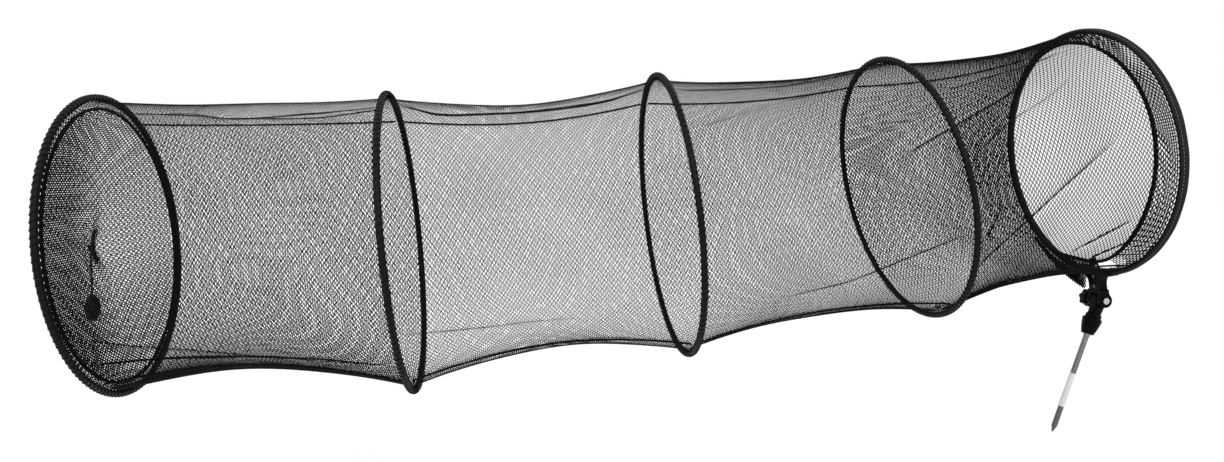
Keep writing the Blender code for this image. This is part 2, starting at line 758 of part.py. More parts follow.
def make_mouth(frame, look):
    turns = rod_turns(0, MOUTH_GAP_TURN, MOUTH_JOINT_TURN)
    make_piece("mouth_hoop", bent_rod(MOUTH_RADIUS, turns, MOUTH_ROD), frame, look["hoop"])
    bore = MOUTH_ROD + 2 * CLEARANCE
    open_turns = even(MOUTH_JOINT_TURN, 2 * math.pi - MOUTH_JOINT_TURN, HOOP_STEPS)
    tape = bent_sleeve(MOUTH_RADIUS, open_turns, bore, TAPE_THICKNESS, TAPE_WIDTH, -TAPE_SETBACK)
    make_piece("mouth_tape", tape, frame, look["tape"])

    rings = [
        section_ring(MOUTH_CORD_RADIUS, t, MOUTH_CORD, MOUTH_CORD, mouth_cord_x(t), CORD_SIDES)
        for t in net_turns()
    ]
    cord = make_piece("mouth_cord", loft(rings, around=True), frame, look["cord"])
    turn = math.radians(KNOT_TURN_DEG)
    behind = (MOUTH_KNOT - MOUTH_CORD) / 2
    centre = hoop_point(MOUTH_CORD_RADIUS, turn, mouth_cord_x(turn) - behind)
    join(cord, make_piece("mouth_knot", knobby_ball(centre, MOUTH_KNOT / 2), frame, look["cord"]))

    shares = (0.0, 0.5, 1.0)
    outer = [[hem_point(share, t, NET_WALL / 2) for t in net_turns()] for share in shares]
    inner = [[hem_point(share, t, -NET_WALL / 2) for t in net_turns()] for share in shares]
    make_piece("mouth_hem", wall_loft(outer, inner), frame, look["net"])


def mouth_cord_x(turn):
    """The drawn cord hangs further back from the hoop on its near side."""
    return -MOUTH_CORD_SETBACK - MOUTH_CORD_SKEW * math.sin(turn)


def hem_point(share, turn, proud):
    """A point of the netting between the tape and the drawn cord."""
    wall = NET_WALL / 2
    rear = -TAPE_REAR - CLEARANCE - wall
    lip = mouth_cord_x(turn) + MOUTH_CORD / 2 + CLEARANCE + wall
    rim = MOUTH_RADIUS - HEM_STEP_IN
    length = math.hypot(lip - rear, MOUTH_CORD_RADIUS - rim)
    x = mix(rear, lip, share) + proud * (MOUTH_CORD_RADIUS - rim) / length
    radius = mix(rim, MOUTH_CORD_RADIUS, share) + proud * (rear - lip) / length
    return hoop_point(radius, turn, x)


# Closed end

def make_ferrule(name, frame, turn_deg, look):
    turns = joint_turns(math.radians(turn_deg), HOOP_GAP_TURN, FERRULE_TURN)
    bore = HOOP_ROD + 2 * CLEARANCE
    sleeve = bent_sleeve(HOOP_RADIUS, turns, bore, FERRULE_DIAMETER, FERRULE_DIAMETER)
    make_piece(name, sleeve, frame, look["ferrule"])


def make_hoop(name, frame, turn_deg, look):
    """A rod bent round until its ends meet inside the ferrule."""
    turns = rod_turns(math.radians(turn_deg), HOOP_GAP_TURN, FERRULE_TURN)
    make_piece(name, bent_rod(HOOP_RADIUS, turns, HOOP_ROD), frame, look["hoop"])


def make_end(frame, look):
    make_piece("end_cord", closed_hoop(END_CORD_RADIUS, END_CORD), frame, look["cord"])
    seat = END_CORD / 2 + CLEARANCE
    wall = NET_WALL / 2
    inside = END_CORD_RADIUS + seat
    outside = HOOP_RADIUS - FERRULE_DIAMETER / 2 - CLEARANCE
    turns = net_turns()
    front = [[hoop_point(r, t, wall) for t in turns] for r in (inside, outside)]
    back = [[hoop_point(r, t, -wall) for t in turns] for r in (inside, outside)]
    make_piece("end_hem", wall_loft(front, back), frame, look["net"])

    rim = END_CORD_RADIUS - seat
    slope = [(rim * share, -PANEL_DEPTH * depth) for share, depth in PANEL_SHARES]
    slope.append((PANEL_EYE, -PANEL_DEPTH))
    front = [[hoop_point(r, t, x + wall) for t in turns] for r, x in slope]
    back = [[hoop_point(r, t, x - wall) for t in turns] for r, x in slope]
    make_piece("end_panel", panel_body(front, back), frame, look["net"])


def panel_body(front, back):
    """The dished end: front and back skins, open rim joined, centre closed."""
    body = bmesh.new()
    skins = [add_rings(body, rings, caps=False) for rings in (front, back)]
    count = len(front[0])
    for i in range(count):
        j = (i + 1) % count
        body.faces.new((skins[0][0][i], skins[0][0][j], skins[1][0][j], skins[1][0][i]))
    for skin in skins:
        body.faces.new(skin[-1])
    return body


def make_free_cord(name, top, frame, material):
    """The toggle's cord, hanging straight down."""
    curve = bpy.data.curves.new(name, "CURVE")
    curve.dimensions = "3D"
    curve.bevel_depth = TOGGLE_CORD / 2
    curve.bevel_resolution = 2
    curve.use_fill_caps = True
    spline = curve.splines.new("POLY")
    spline.points.add(CORD_POINTS - 1)
    for i, point in enumerate(spline.points):
        point.co = (0, 0, top - TOGGLE_CORD_LENGTH * i / (CORD_POINTS - 1), 1)
    piece = bpy.data.objects.new(name, curve)
    bpy.context.scene.collection.objects.link(piece)
    piece.parent = frame
    curve.materials.append(material)


def make_knot_and_toggle(end_frame, knot_frame, look):
    make_piece("end_knot", knobby_ball(Vector(), END_KNOT / 2, 12), knot_frame, look["cord"])
    top = -END_KNOT / 2 - CLEARANCE
    swing = make_frame("toggle_frame", knot_frame.matrix_world)
    make_free_cord("toggle_cord", top, swing, look["cord"])
    head = top - TOGGLE_CORD_LENGTH - CLEARANCE
    middle = head - TOGGLE_LENGTH / 2
    rings = []
    rows = 8
    face = math.acos(TOGGLE_FACE / TOGGLE_DIAMETER)
    for i in range(rows + 1):
        t = mix(-face, face, i / rows)
        z = middle + TOGGLE_LENGTH / 2 * math.sin(t) / math.sin(face)
        rings.append(circle(TOGGLE_DIAMETER / 2 * math.cos(t), z, 16))
    make_piece("toggle", loft(rings), swing, look["toggle"])


def make_looks():
    return {
        "net": make_material("net", (0.02, 0.02, 0.022), 0.75),
        "hoop": make_material("hoop", (0.015, 0.015, 0.016), 0.35),
        "ferrule": make_material("ferrule", (0.30, 0.30, 0.31), 0.35, 1.0),
        "tape": make_material("tape", (0.045, 0.045, 0.047), 0.85),
        "cord": make_material("cord", (0.015, 0.015, 0.015), 0.8),
        "plastic": make_material("plastic", (0.018, 0.018, 0.019), 0.45),
        "steel": make_material("steel", (0.45, 0.45, 0.46), 0.35, 1.0),
        "bright": make_material("bright", (0.70, 0.70, 0.70), 0.30, 1.0),
        "washer": make_material("washer", (0.20, 0.20, 0.20), 0.5, 1.0),
        "brass": make_material("brass", (0.60, 0.45, 0.20), 0.35, 1.0),
        "aluminium": make_material("aluminium", (0.38, 0.38, 0.39), 0.42, 1.0),
        "label": make_material("label", (0.85, 0.85, 0.85), 0.5),
        "toggle": make_material("toggle", (0.02, 0.02, 0.02), 0.5),
    }


def build():
    clear_scene()
    look = make_looks()
    spike = make_frame("spike_frame", spike_matrix())
    make_spike(spike, look)
    arm = make_frame("arm_frame", spike_matrix())
    make_arm(arm, look)
    head = make_frame("head_frame", head_matrix())
    make_block(head, look)
    make_hinge_parts(head, look)
    knob = make_frame("knob_frame", head_matrix())
    make_knob(knob, look)

    frames = [make_frame(f"hoop_frame_{i + 1}", matrix) for i, matrix in enumerate(hoop_matrices())]
    make_mouth(frames[0], look)
    last = len(frames) - 1
    for i, turn_deg in enumerate(FERRULE_TURNS_DEG, start=1):
        if i == last:
            make_hoop("end_hoop", frames[i], turn_deg, look)
            make_ferrule("end_ferrule", frames[i], turn_deg, look)
        else:
            make_hoop(f"hoop_{i + 1}", frames[i], turn_deg, look)
            make_ferrule(f"ferrule_{i + 1}", frames[i], turn_deg, look)
    make_end(frames[last], look)
    knot = make_frame("knot_frame", end_knot_matrix())
    make_knot_and_toggle(frames[last], knot, look)

    world = make_frame("net_frame", Matrix())
    for i in range(last):
        make_bay(i, world, look["net"])
        make_seam(f"low_seam_{i + 1}", i, LOW_SEAM_TURN_DEG, world, look["cord"])
        make_seam(f"high_seam_{i + 1}", i, LOW_SEAM_TURN_DEG + 180, world, look["cord"])


build()
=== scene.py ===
"""Looks for the keep net: real knotless mesh between the hoops, bound mouth, drawn end, spike.

Metres, +Z up, +X along the net from its closed end to its mouth, origin at the spike's point.
"""

import math

import bpy
import numpy as np
from mathutils import Matrix, Vector


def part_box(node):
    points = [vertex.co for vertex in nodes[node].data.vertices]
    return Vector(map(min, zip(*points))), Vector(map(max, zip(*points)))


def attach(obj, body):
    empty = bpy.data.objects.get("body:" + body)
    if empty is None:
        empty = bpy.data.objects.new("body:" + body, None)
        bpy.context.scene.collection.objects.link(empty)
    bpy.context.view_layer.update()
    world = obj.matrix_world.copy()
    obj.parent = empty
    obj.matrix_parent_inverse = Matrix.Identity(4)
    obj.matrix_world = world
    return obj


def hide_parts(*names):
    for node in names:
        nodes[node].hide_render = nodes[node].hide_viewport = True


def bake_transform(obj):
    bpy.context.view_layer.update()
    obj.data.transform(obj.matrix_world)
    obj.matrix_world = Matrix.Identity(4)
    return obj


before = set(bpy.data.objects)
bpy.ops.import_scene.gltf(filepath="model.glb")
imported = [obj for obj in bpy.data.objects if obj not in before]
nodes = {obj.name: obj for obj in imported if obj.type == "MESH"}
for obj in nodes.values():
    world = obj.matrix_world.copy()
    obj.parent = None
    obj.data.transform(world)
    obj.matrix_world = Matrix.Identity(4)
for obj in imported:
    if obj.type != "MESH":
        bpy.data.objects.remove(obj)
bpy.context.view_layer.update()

# Sizes shared with the solid parts, in metres and degrees

HOOP_RADIUS = 0.19675
HOOP_BOUND = 0.0084
LACING = 0.0012
MOUTH_RADIUS = 0.1954
TAPE_THICK = 0.0092
TAPE_WIDE = 0.0135
TAPE_SETBACK = 0.0020
TAPE_END = 12.8
TAPE_REAR = 0.00905
HEM_STEP_IN = 0.0018
MOUTH_CORD = 0.0050
MOUTH_CORD_RADIUS = 0.1805
MOUTH_CORD_SETBACK = 0.0230
MOUTH_CORD_SKEW = 0.0105
MOUTH_KNOT_TURN = 9.5
END_CORD = 0.0040
END_CORD_RADIUS = 0.18255
END_HEM_REACH = 0.19225
PANEL_DEPTH = 0.030
PANEL_SHARES = ((0.0, 1.0), (0.028, 1.0), (0.14, 0.76), (0.38, 0.42), (0.70, 0.16), (1.0, 0.0))
SEAM_CORD = 0.0030
SEAM_PROUD = 0.0021
SEAM_STOP = 0.0060
TOGGLE_CORD = 0.003
TOGGLE_CORD_LENGTH = 0.058
CLEARANCE = 0.0003
NET_WALL = 0.0006
NET_RIM = 0.19195
NET_STEP_OUT = 0.0012
SECTION = 0.370
MOUTH_HEIGHT = 0.2425
HINGE_HEIGHT = 0.2320
SPIKE_LEAN = 18.5
MOUTH_LEAN = 8.6
HOOP_LEANS = (13.4, 6.9, 5.2, 4.2)
SEAM_TURN = 30
STEPS = ((0.92, -0.12, 0.157), (0.99, -0.095, 0.108), (0.99, -0.06, 0.097), (1.03, 0.143, 0.022))
WAISTS = (0.0119, 0.0084, 0.0175, 0.0119)
LIFTS = (0.0016, 0.0008, 0.0024, 0.0092)

# Netting values

# How much further than its solid each section is drawn in between its hoops, above and below.
# The depth follows a half wave to the power DRAWN_SHARP, so it is reached soon after each hoop.
DRAWN_ABOVE = (0.0050, 0.0065, 0.0055, 0.0030)
DRAWN_BELOW = (0.0045, 0.0125, 0.0080, 0.0050)
DRAWN_SHARP = 0.6

# The length of each section's cells, the cells round it, how thick its twine looks on the near
# side, and how much thicker where it hangs slack on the far side.
CELLS_LONG = (0.0062, 0.0054, 0.0054, 0.0054)
CELLS_ROUND = 140
TWINES = (0.00126, 0.00099, 0.00084, 0.00105)
SLACK = (0.64, 0.28, 0.32, 0.36)
# How much thinner the twine looks within TAUT_WIDTH degrees of the top and of the bottom, where
# the net is drawn tight. Where the value is below 0 the twine looks thicker.
TAUT_ABOVE = (0.30, 0.10, 0.04, 0.36)
TAUT_BELOW = (0.30, 0.10, 0.04, -0.40)
TAUT_WIDTH = 26.0
# How much thicker it looks along the lower half.
HEAVY_BELOW = (0.0, 0.0, 0.0, 0.16)
# A twine's sides, and the part of its thickness by which two rows close up at each corner.
TWINE_SIDES = 3
TOUCH = 0.4
# How far the cells drift from an even net.
UNEVEN = 0.0022
# Ovals where section 1 is parted: degrees round, degrees wide, share along, share long.
OVER_BLOCK = (17, 6, 0.0, 0.045)
BESIDE_KNOT = (30, 6.5, 0.15, 0.09)
# The length of one turn of a seam cord's strands.
SEAM_LAY = 0.009

# How far away a crease still draws the cells in, the most that it crowds them, how much wider
# than itself it dips, and how steeply and to what share it fades at its ends.
CREASE_REACH = 0.06
MOST_CROWDED = 1.2
DIP_WIDER = 1.5
CROWD_FADE = (8, 0.15)
# A pleat's strands: their radius at force 1, how far apart they lie, how they fade, how wide a
# crease may be before they get thinner, their places, and how many of those round off a corner.
PLEAT_TWINE = 0.00055
PLEAT_SPREAD = 0.0014
PLEAT_FADE = (6, 0.05)
PLEAT_WIDE = 0.0056
PLEAT_PLACES = 80
EASE = 8

# Creases of each section: the (share along, degrees round) places that one runs through, its
# width, how hard it draws the mesh together at its first and last place, and how deep it dips.
# Where the depth is 0 the cells crowd along a seam cord, and there is no pleat.
CREASES = (
    (
        (((0.97, 55), (0.85, 63), (0.73, 71), (0.52, 85), (0.25, 101)), 0.0052, 0.95, 0.60, 0.004),
        (((0.43, 47), (0.31, 55), (0.19, 62)), 0.0036, 0.90, 0.60, 0.002),
        (((0.30, 39), (0.16, 49)), 0.0036, 0.80, 0.60, 0.002),
        (((0.95, 103), (0.74, 115), (0.50, 124), (0.28, 137)), 0.0060, 0.95, 0.08, 0.003),
        (((0.66, 258), (0.31, 243), (0.01, 232)), 0.0056, 0.90, 1.20, 0.003),
        (((0.92, 136), (0.68, 143), (0.26, 154)), 0.0050, 0.85, 0.70, 0.002),
        (((0.33, 315), (0.13, 297)), 0.0050, 0.80, 0.80, 0.002),
        (((0.02, 30), (0.98, 30)), 0.0070, 0.80, 0.70, 0.0),
        (((0.02, 210), (0.98, 210)), 0.0045, 0.60, 0.60, 0.0),
    ),
    (
        (((0.72, 49), (0.47, 52), (0.36, 57), (0.21, 65), (0.03, 73)), 0.0050, 0.60, 0.85, 0.002),
        (((0.95, 128), (0.68, 138), (0.34, 150)), 0.0110, 0.60, 0.40, 0.004),
        (((0.96, 153), (0.90, 154), (0.56, 157), (0.30, 163), (0.04, 168)), 0.0045, 0.80, 0.90, 0.001),
        (((0.97, 173), (0.50, 176), (0.03, 178)), 0.0050, 1.0, 1.6, 0.001),
        (((0.02, 128), (0.30, 118), (0.60, 104)), 0.0120, 0.60, 0.30, 0.004),
        (((0.02, 30), (0.98, 30)), 0.0055, 0.75, 0.75, 0.0),
        (((0.02, 210), (0.98, 210)), 0.0045, 0.60, 0.60, 0.0),
    ),
    (
        (
            ((0.94, 161), (0.81, 154), (0.67, 157), (0.44, 158), (0.24, 157), (0.05, 162)),
            0.0056, 1.9, 1.7, 0.002,
        ),
        (
            ((0.97, 192), (0.83, 198), (0.68, 195), (0.42, 193), (0.20, 195), (0.02, 193)),
            0.0056, 1.6, 1.5, 0.002,
        ),
        (((0.98, 60), (0.70, 52), (0.40, 50)), 0.0080, 0.60, 0.30, 0.002),
        (((0.02, 30), (0.98, 30)), 0.0055, 0.75, 0.75, 0.0),
        (((0.02, 210), (0.98, 210)), 0.0045, 0.60, 0.60, 0.0),
    ),
    (
        (
            ((0.86, 155), (0.62, 155), (0.52, 151), (0.43, 150), (0.27, 154), (0.01, 156)),
            0.0056, 1.0, 1.5, 0.002,
        ),
        (
            ((0.75, 203), (0.55, 201), (0.42, 202), (0.28, 202), (0.11, 197), (0.03, 195)),
            0.0050, 0.9, 1.4, 0.002,
        ),
        (
            ((0.98, 45), (0.88, 43), (0.76, 41), (0.60, 37), (0.47, 36), (0.27, 37), (0.01, 43)),
            0.0045, 1.9, 1.9, 0.001,
        ),
        (((0.95, 59), (0.74, 48), (0.47, 38)), 0.0034, 0.90, 0.60, 0.001),
        (((0.02, 30), (0.98, 30)), 0.0055, 0.75, 0.75, 0.0),
        (((0.02, 210), (0.98, 210)), 0.0045, 0.60, 0.60, 0.0),
    ),
)

rng = np.random.default_rng(7)


# Camera, fitted to the five hoops in the photograph

def make_camera():
    data = bpy.data.cameras.new("photo_camera")
    data.lens = 24.0
    data.sensor_width = 36.0
    data.sensor_fit = "HORIZONTAL"
    data.clip_end = 50.0
    camera = bpy.data.objects.new("photo_camera", data)
    bpy.context.scene.collection.objects.link(camera)
    look = Vector((0.13053, 0.98902, -0.06916)).normalized()
    right = look.cross(Vector((0.0, 0.06976, 0.99756))).normalized()
    up = right.cross(look)
    turn = Matrix((right, up, -look)).transposed().to_4x4()
    camera.matrix_world = Matrix.Translation((-0.9012, -1.2217, 0.4194)) @ turn
    bpy.context.scene.camera = camera


# Where things are

def lean(centre, degrees):
    """The frame of a hoop whose top is tipped back by some degrees: X is its axis."""
    return Matrix.Translation(centre) @ Matrix.Rotation(-math.radians(degrees), 4, "Y")


SPIKE = Matrix.Rotation(math.radians(SPIKE_LEAN), 4, "Y")
HINGE = SPIKE @ Vector((0, 0, HINGE_HEIGHT))
MOUTH = lean(HINGE, MOUTH_LEAN) @ Matrix.Translation((0, 0, MOUTH_HEIGHT))


def hoop_frames():
    """The frames of the five hoops, from the mouth to the closed end."""
    frames = [MOUTH]
    centre = MOUTH.translation.copy()
    for (back, side, down), degrees in zip(STEPS, HOOP_LEANS):
        centre = centre + SECTION * Vector((-back, side, -down))
        frames.append(lean(centre, degrees))
    return frames


HOOPS = hoop_frames()
BODIES = ("head", "hoop_2", "hoop_3", "hoop_4", "closed_end")


def placed(matrix, x, y, z):
    """Points given in a frame, as an array whose last axis holds x, y and z."""
    turn = np.array(matrix.to_3x3())
    points = np.stack(np.broadcast_arrays(x, y, z), axis=-1)
    return points @ turn.T + np.array(matrix.translation)


def round_hoop(matrix, radius, turn, x):
    """Points round a hoop: turn is from its bottom, positive towards the near side."""
    return placed(matrix, x, -radius * np.sin(turn), -radius * np.cos(turn))


def axis_of(matrix):
    return np.array(matrix.to_3x3() @ Vector((1, 0, 0)))


def full_turn(count):
    return 2 * math.pi * np.arange(count) / count


# Mesh building

def build(name, points, groups, material, uvs=None, smooth=True):
    """A mesh piece from points and arrays of faces, each array with its own number of corners."""
    mesh = bpy.data.meshes.new(name)
    mesh.vertices.add(len(points))
    mesh.vertices.foreach_set("co", np.asarray(points, np.float32).ravel())
    corners = np.concatenate([np.asarray(g).ravel() for g in groups])
    sizes = np.concatenate([np.full(len(g), np.asarray(g).shape[1]) for g in groups])
    starts = np.r_[0, np.cumsum(sizes)[:-1]]
    mesh.loops.add(len(corners))
    mesh.loops.foreach_set("vertex_index", corners.astype(np.int32))
    mesh.polygons.add(len(sizes))
    mesh.polygons.foreach_set("loop_start", starts.astype(np.int32))
    mesh.update(calc_edges=True)
    if uvs is not None:
        layer = mesh.uv_layers.new(name="OFBake")
        layer.uv.foreach_set("vector", np.asarray(uvs, np.float32).ravel())
    mesh.validate()
    if smooth:
        mesh.shade_smooth()
    mesh.materials.append(material)
    piece = bpy.data.objects.new(name, mesh)
    bpy.context.scene.collection.objects.link(piece)
    return piece


def grid_faces(rows, columns, wrap_rows, wrap_columns):
    """Quads over a grid of points numbered row by row."""
    i = np.arange(rows if wrap_rows else rows - 1)[:, None]
    j = np.arange(columns if wrap_columns else columns - 1)[None, :]
    down = (i + 1) % rows
    over = (j + 1) % columns
    corners = (i * columns + j, i * columns + over, down * columns + over, down * columns + j)
    return np.stack(np.broadcast_arrays(*corners), axis=-1).reshape(-1, 4)


def grid_maps(rows, columns, wrap_rows, wrap_columns):
    """The map places of grid_faces, which run on past 1 where the grid wraps."""
    i = np.arange(rows if wrap_rows else rows - 1)[:, None] / rows
    j = np.arange(columns if wrap_columns else columns - 1)[None, :] / columns
    far_i, far_j = i + 1 / rows, j + 1 / columns
    corners = [(i, j), (i, far_j), (far_i, far_j), (far_i, j)]
    pairs = [np.stack(np.broadcast_arrays(*corner), axis=-1) for corner in corners]
    return np.stack(pairs, axis=2).reshape(-1, 2)


def swept(path, shape, sides, closed, axis):
    """Points, faces and map of a tube. shape(along, angle) is its radius from the path.

    On a ring whose axis is its hoop's, angle starts on the inside, and a quarter turn on it is
    the side that faces out of the mouth.
    """
    path = np.asarray(path, float)
    count = len(path)
    if closed:
        ahead = np.roll(path, -1, axis=0) - np.roll(path, 1, axis=0)
        steps = np.linalg.norm(np.roll(path, -1, axis=0) - path, axis=1)
        along = np.r_[0, np.cumsum(steps)[:-1]]
    else:
        ahead = np.gradient(path, axis=0)
        along = np.r_[0, np.cumsum(np.linalg.norm(np.diff(path, axis=0), axis=1))]
    ahead /= np.linalg.norm(ahead, axis=1, keepdims=True)
    side = np.cross(ahead, np.broadcast_to(axis, path.shape))
    side /= np.linalg.norm(side, axis=1, keepdims=True)
    over = np.cross(side, ahead)
    angle = full_turn(sides)
    radius = shape(along[:, None], angle[None, :]) + 0 * along[:, None]
    ring = np.cos(angle)[None, :, None] * side[:, None] + np.sin(angle)[None, :, None] * over[:, None]
    points = (path[:, None] + radius[..., None] * ring).reshape(-1, 3)
    groups = [grid_faces(count, sides, closed, True)[:, ::-1]]
    maps = grid_maps(count, sides, closed, True).reshape(-1, 4, 2)[:, ::-1].reshape(-1, 2)
    if not closed:
        groups.append(np.arange(sides)[None, :])
        groups.append(((count - 1) * sides + np.arange(sides))[None, ::-1])
        rim = np.stack([np.cos(angle), np.sin(angle)], axis=1) * 0.01
        maps = np.concatenate([maps, rim, rim])
    return points, groups, maps


def tube(name, path, shape, material, sides=12, closed=False, axis=(0, 0, 1)):
    points, groups, maps = swept(path, shape, sides, closed, np.asarray(axis, float))
    return build(name, points, groups, material, maps)


def tubes(name, paths, shape, material, sides, closed, axis):
    """Many short tubes as one piece, all of one shape or each with its own."""
    points, groups, maps, offset = [], [], [], 0
    shapes = shape if isinstance(shape, list) else [shape] * len(paths)
    for path, own in zip(paths, shapes):
        made, faces, places = swept(path, own, sides, closed, np.asarray(axis, float))
        points.append(made)
        groups += [group + offset for group in faces]
        maps.append(places)
        offset += len(made)
    return build(name, np.concatenate(points), groups, material, np.concatenate(maps))


def length_of(path, closed):
    path = np.asarray(path, float)
    ends = np.roll(path, -1, axis=0) if closed else path[1:]
    starts = path if closed else path[:-1]
    return np.linalg.norm(ends - starts, axis=1).sum()


def laid_cord(radius, strands, pitch, total=None):
    """The radius round a laid cord, whose strands wind once in each pitch."""
    if total:
        pitch = total / round(total / pitch)

    def shape(along, angle):
        return radius * (0.90 + 0.10 * np.cos(strands * (angle - 2 * math.pi * along / pitch)))

    return shape


def braided_cord(radius, strands, pitch, total):
    """The radius round a braided cord, whose strands wind both ways."""
    pitch = total / round(total / pitch)

    def shape(along, angle):
        wind = 2 * math.pi * along / pitch
        one, other = np.cos(strands * angle - wind), np.cos(strands * angle + wind)
        return radius * (0.88 + 0.12 * np.maximum(one, other))

    return shape


def plain_round(radius):
    def shape(along, angle):
        return radius + 0 * angle

    return shape


def set_up(piece, replaced, body=None):
    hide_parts(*replaced)
    if body:
        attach(piece, body)
    return piece


# Netting

def bay_surface(index):
    """The middle of a section's netting, by share along it and turn round it."""
    near, far = HOOPS[index], HOOPS[index + 1]
    near_radius = MOUTH_RADIUS + NET_STEP_OUT if index == 0 else NET_RIM
    near_x = -TAPE_REAR if index == 0 else -CLEARANCE / 2
    far_x = NET_WALL / 2 + CLEARANCE if index == 3 else CLEARANCE / 2

    def surface(share, turn, proud=0.0):
        drawn = np.sin(math.pi * np.clip(share, 0, 1))
        radius = near_radius + (NET_RIM - near_radius) * share - WAISTS[index] * drawn + proud
        below = DRAWN_BELOW[index] * np.clip(np.cos(turn), 0, 1)
        above = DRAWN_ABOVE[index] * np.clip(-np.cos(turn), 0, 1)
        radius = radius - (below + above) * drawn ** DRAWN_SHARP
        start = round_hoop(near, radius, turn, near_x)
        end = round_hoop(far, radius, turn, far_x)
        point = start + (end - start) * np.asarray(share)[..., None]
        point[..., 2] += LIFTS[index] * drawn
        return point

    return surface


def fading(done, fade):
    """1 along most of a crease, falling off at its two ends."""
    steep, least = fade
    return np.minimum(1, steep * np.minimum(done, 1 - done) + least)


def crease_pull(share, turn, length, crease):
    """How far a crease draws each point of the netting, along and round it, and how far it dips."""
    places, wide, first, last, deep = crease
    x, y = share * length, turn * NET_RIM
    best = np.full(np.shape(x), np.inf)
    away_x, away_y, force = np.zeros_like(best), np.zeros_like(best), np.zeros_like(best)
    corners = [(part * length, math.radians(degrees) * NET_RIM) for part, degrees in places]
    runs = [math.dist(a, b) for a, b in zip(corners, corners[1:])]
    passed = 0.0
    for (ax, ay), (bx, by), run in zip(corners, corners[1:], runs):
        t = np.clip(((x - ax) * (bx - ax) + (y - ay) * (by - ay)) / run ** 2, 0, 1)
        gap_x, gap_y = x - ax - t * (bx - ax), y - ay - t * (by - ay)
        gap = np.hypot(gap_x, gap_y)
        closer = gap < best
        done = (passed + t * run) / sum(runs)
        here = np.minimum(first + (last - first) * done, MOST_CROWDED) * fading(done, CROWD_FADE)
        best = np.where(closer, gap, best)
        away_x = np.where(closer, gap_x, away_x)
        away_y = np.where(closer, gap_y, away_y)
        force = np.where(closer, here, force)
        passed += run
    pull = force * wide * np.tanh(best / wide) * np.exp(-best / CREASE_REACH) / np.maximum(best, 1e-9)
    return pull * away_x, pull * away_y, deep * force * np.exp(-((best / wide / DIP_WIDER) ** 2))


def settled(index, length):
    """The netting as it hangs: its cells drift a little and crowd together along its creases."""
    surface = bay_surface(index)
    phases = rng.uniform(0, 2 * math.pi, 6)

    def hung(share, turn, proud=0.0):
        share, turn = np.broadcast_arrays(np.asarray(share, float), np.asarray(turn, float))
        free = np.sin(math.pi * share)
        wave = np.sin(3 * turn + 5 * share + phases[0]) + 0.6 * np.sin(7 * turn - 9 * share + phases[1])
        sway = np.sin(2 * turn - 8 * share + phases[2]) + 0.6 * np.sin(5 * turn + 12 * share + phases[3])
        round_about = turn + UNEVEN * free * wave / NET_RIM
        part = share + UNEVEN * free * sway / length
        dip = 0.4 * UNEVEN * free * np.sin(4 * turn + 10 * share + phases[4])
        for crease in CREASES[index]:
            pull_x, pull_y, fall = crease_pull(part, round_about, length, crease)
            part = part - pull_x / length
            round_about = round_about - pull_y / NET_RIM
            dip = dip - fall
        return surface(np.clip(part, 0, 1), round_about, proud + dip)

    return hung


def twine_round(index):
    """How thick a section's twine looks at each place round it."""
    turn = full_turn(2 * CELLS_ROUND)
    far_side = np.clip(-np.sin(turn), 0, 1) ** 1.5
    from_edge = np.degrees(np.arcsin(np.abs(np.sin(turn))))
    taut = np.where(np.cos(turn) < 0, TAUT_ABOVE[index], TAUT_BELOW[index])
    tight = 1 - taut * np.exp(-((from_edge / TAUT_WIDTH) ** 2))
    heavy = 1 + HEAVY_BELOW[index] * np.clip(np.cos(turn), 0, 1)
    return TWINES[index] * (1 + SLACK[index] * far_side) * tight * heavy


def net_tube(name, surface, span, rows, first, last, twine, kept=None):
    """Knotless netting as zigzag twines that run round the tube and touch at each corner.

    rows is the whole tube's number of half cells and first to last the part made here. twine is
    how thick it is, as one value or one for each place round. kept says, by share and turn,
    which of the cells are there.
    """
    around = 2 * CELLS_ROUND
    k = np.arange(around)
    i = np.arange(first, last)[:, None]
    high = (i + k[None, :]) % 2
    thick = np.broadcast_to(twine, (around,))
    touch = TOUCH * thick / span
    share = np.clip((i + high) / rows + np.where(high, -touch, touch), 0, 1)
    turn = np.broadcast_to(full_turn(around), share.shape)
    centre = surface(share, turn)
    ahead = np.roll(centre, -1, axis=1) - np.roll(centre, 1, axis=1)
    ahead /= np.linalg.norm(ahead, axis=2, keepdims=True)
    step = 1e-3
    along = surface(np.clip(share + step, 0, 1), turn) - surface(np.clip(share - step, 0, 1), turn)
    outward = np.cross(ahead, along)
    outward /= np.linalg.norm(outward, axis=2, keepdims=True)
    along = np.cross(outward, ahead)
    sides = TWINE_SIDES
    angle = full_turn(sides) + math.pi / 2
    cosine, sine = np.cos(angle)[:, None], np.sin(angle)[:, None]
    ring = cosine * along[:, :, None] + sine * outward[:, :, None]
    points = (centre[:, :, None] + 0.5 * thick[None, :, None, None] * ring).reshape(-1, 3)
    count = last - first
    base = np.arange(count)[:, None] * around
    here, after = (base + k) * sides, (base + (k + 1) % around) * sides
    there = kept(share, turn) if kept else np.ones(share.shape, bool)
    there = there & np.roll(there, -1, axis=1)
    u = np.broadcast_to(k / around, here.shape)
    v = np.broadcast_to(np.arange(count)[:, None] / count, here.shape)
    wide, tall = 1 / around, 1 / count / sides
    quads, maps = [], []
    for s in range(sides):
        t = (s + 1) % sides
        quads.append(np.stack([here + s, here + t, after + t, after + s], axis=2)[there])
        low = v + s * tall
        corner = [(u, low), (u, low + tall), (u + wide, low + tall), (u + wide, low)]
        maps.append(np.stack([np.stack(c, axis=2) for c in corner], axis=2)[there].reshape(-1, 2))
    return build(name, points, [np.concatenate(quads)], net_black, np.concatenate(maps))


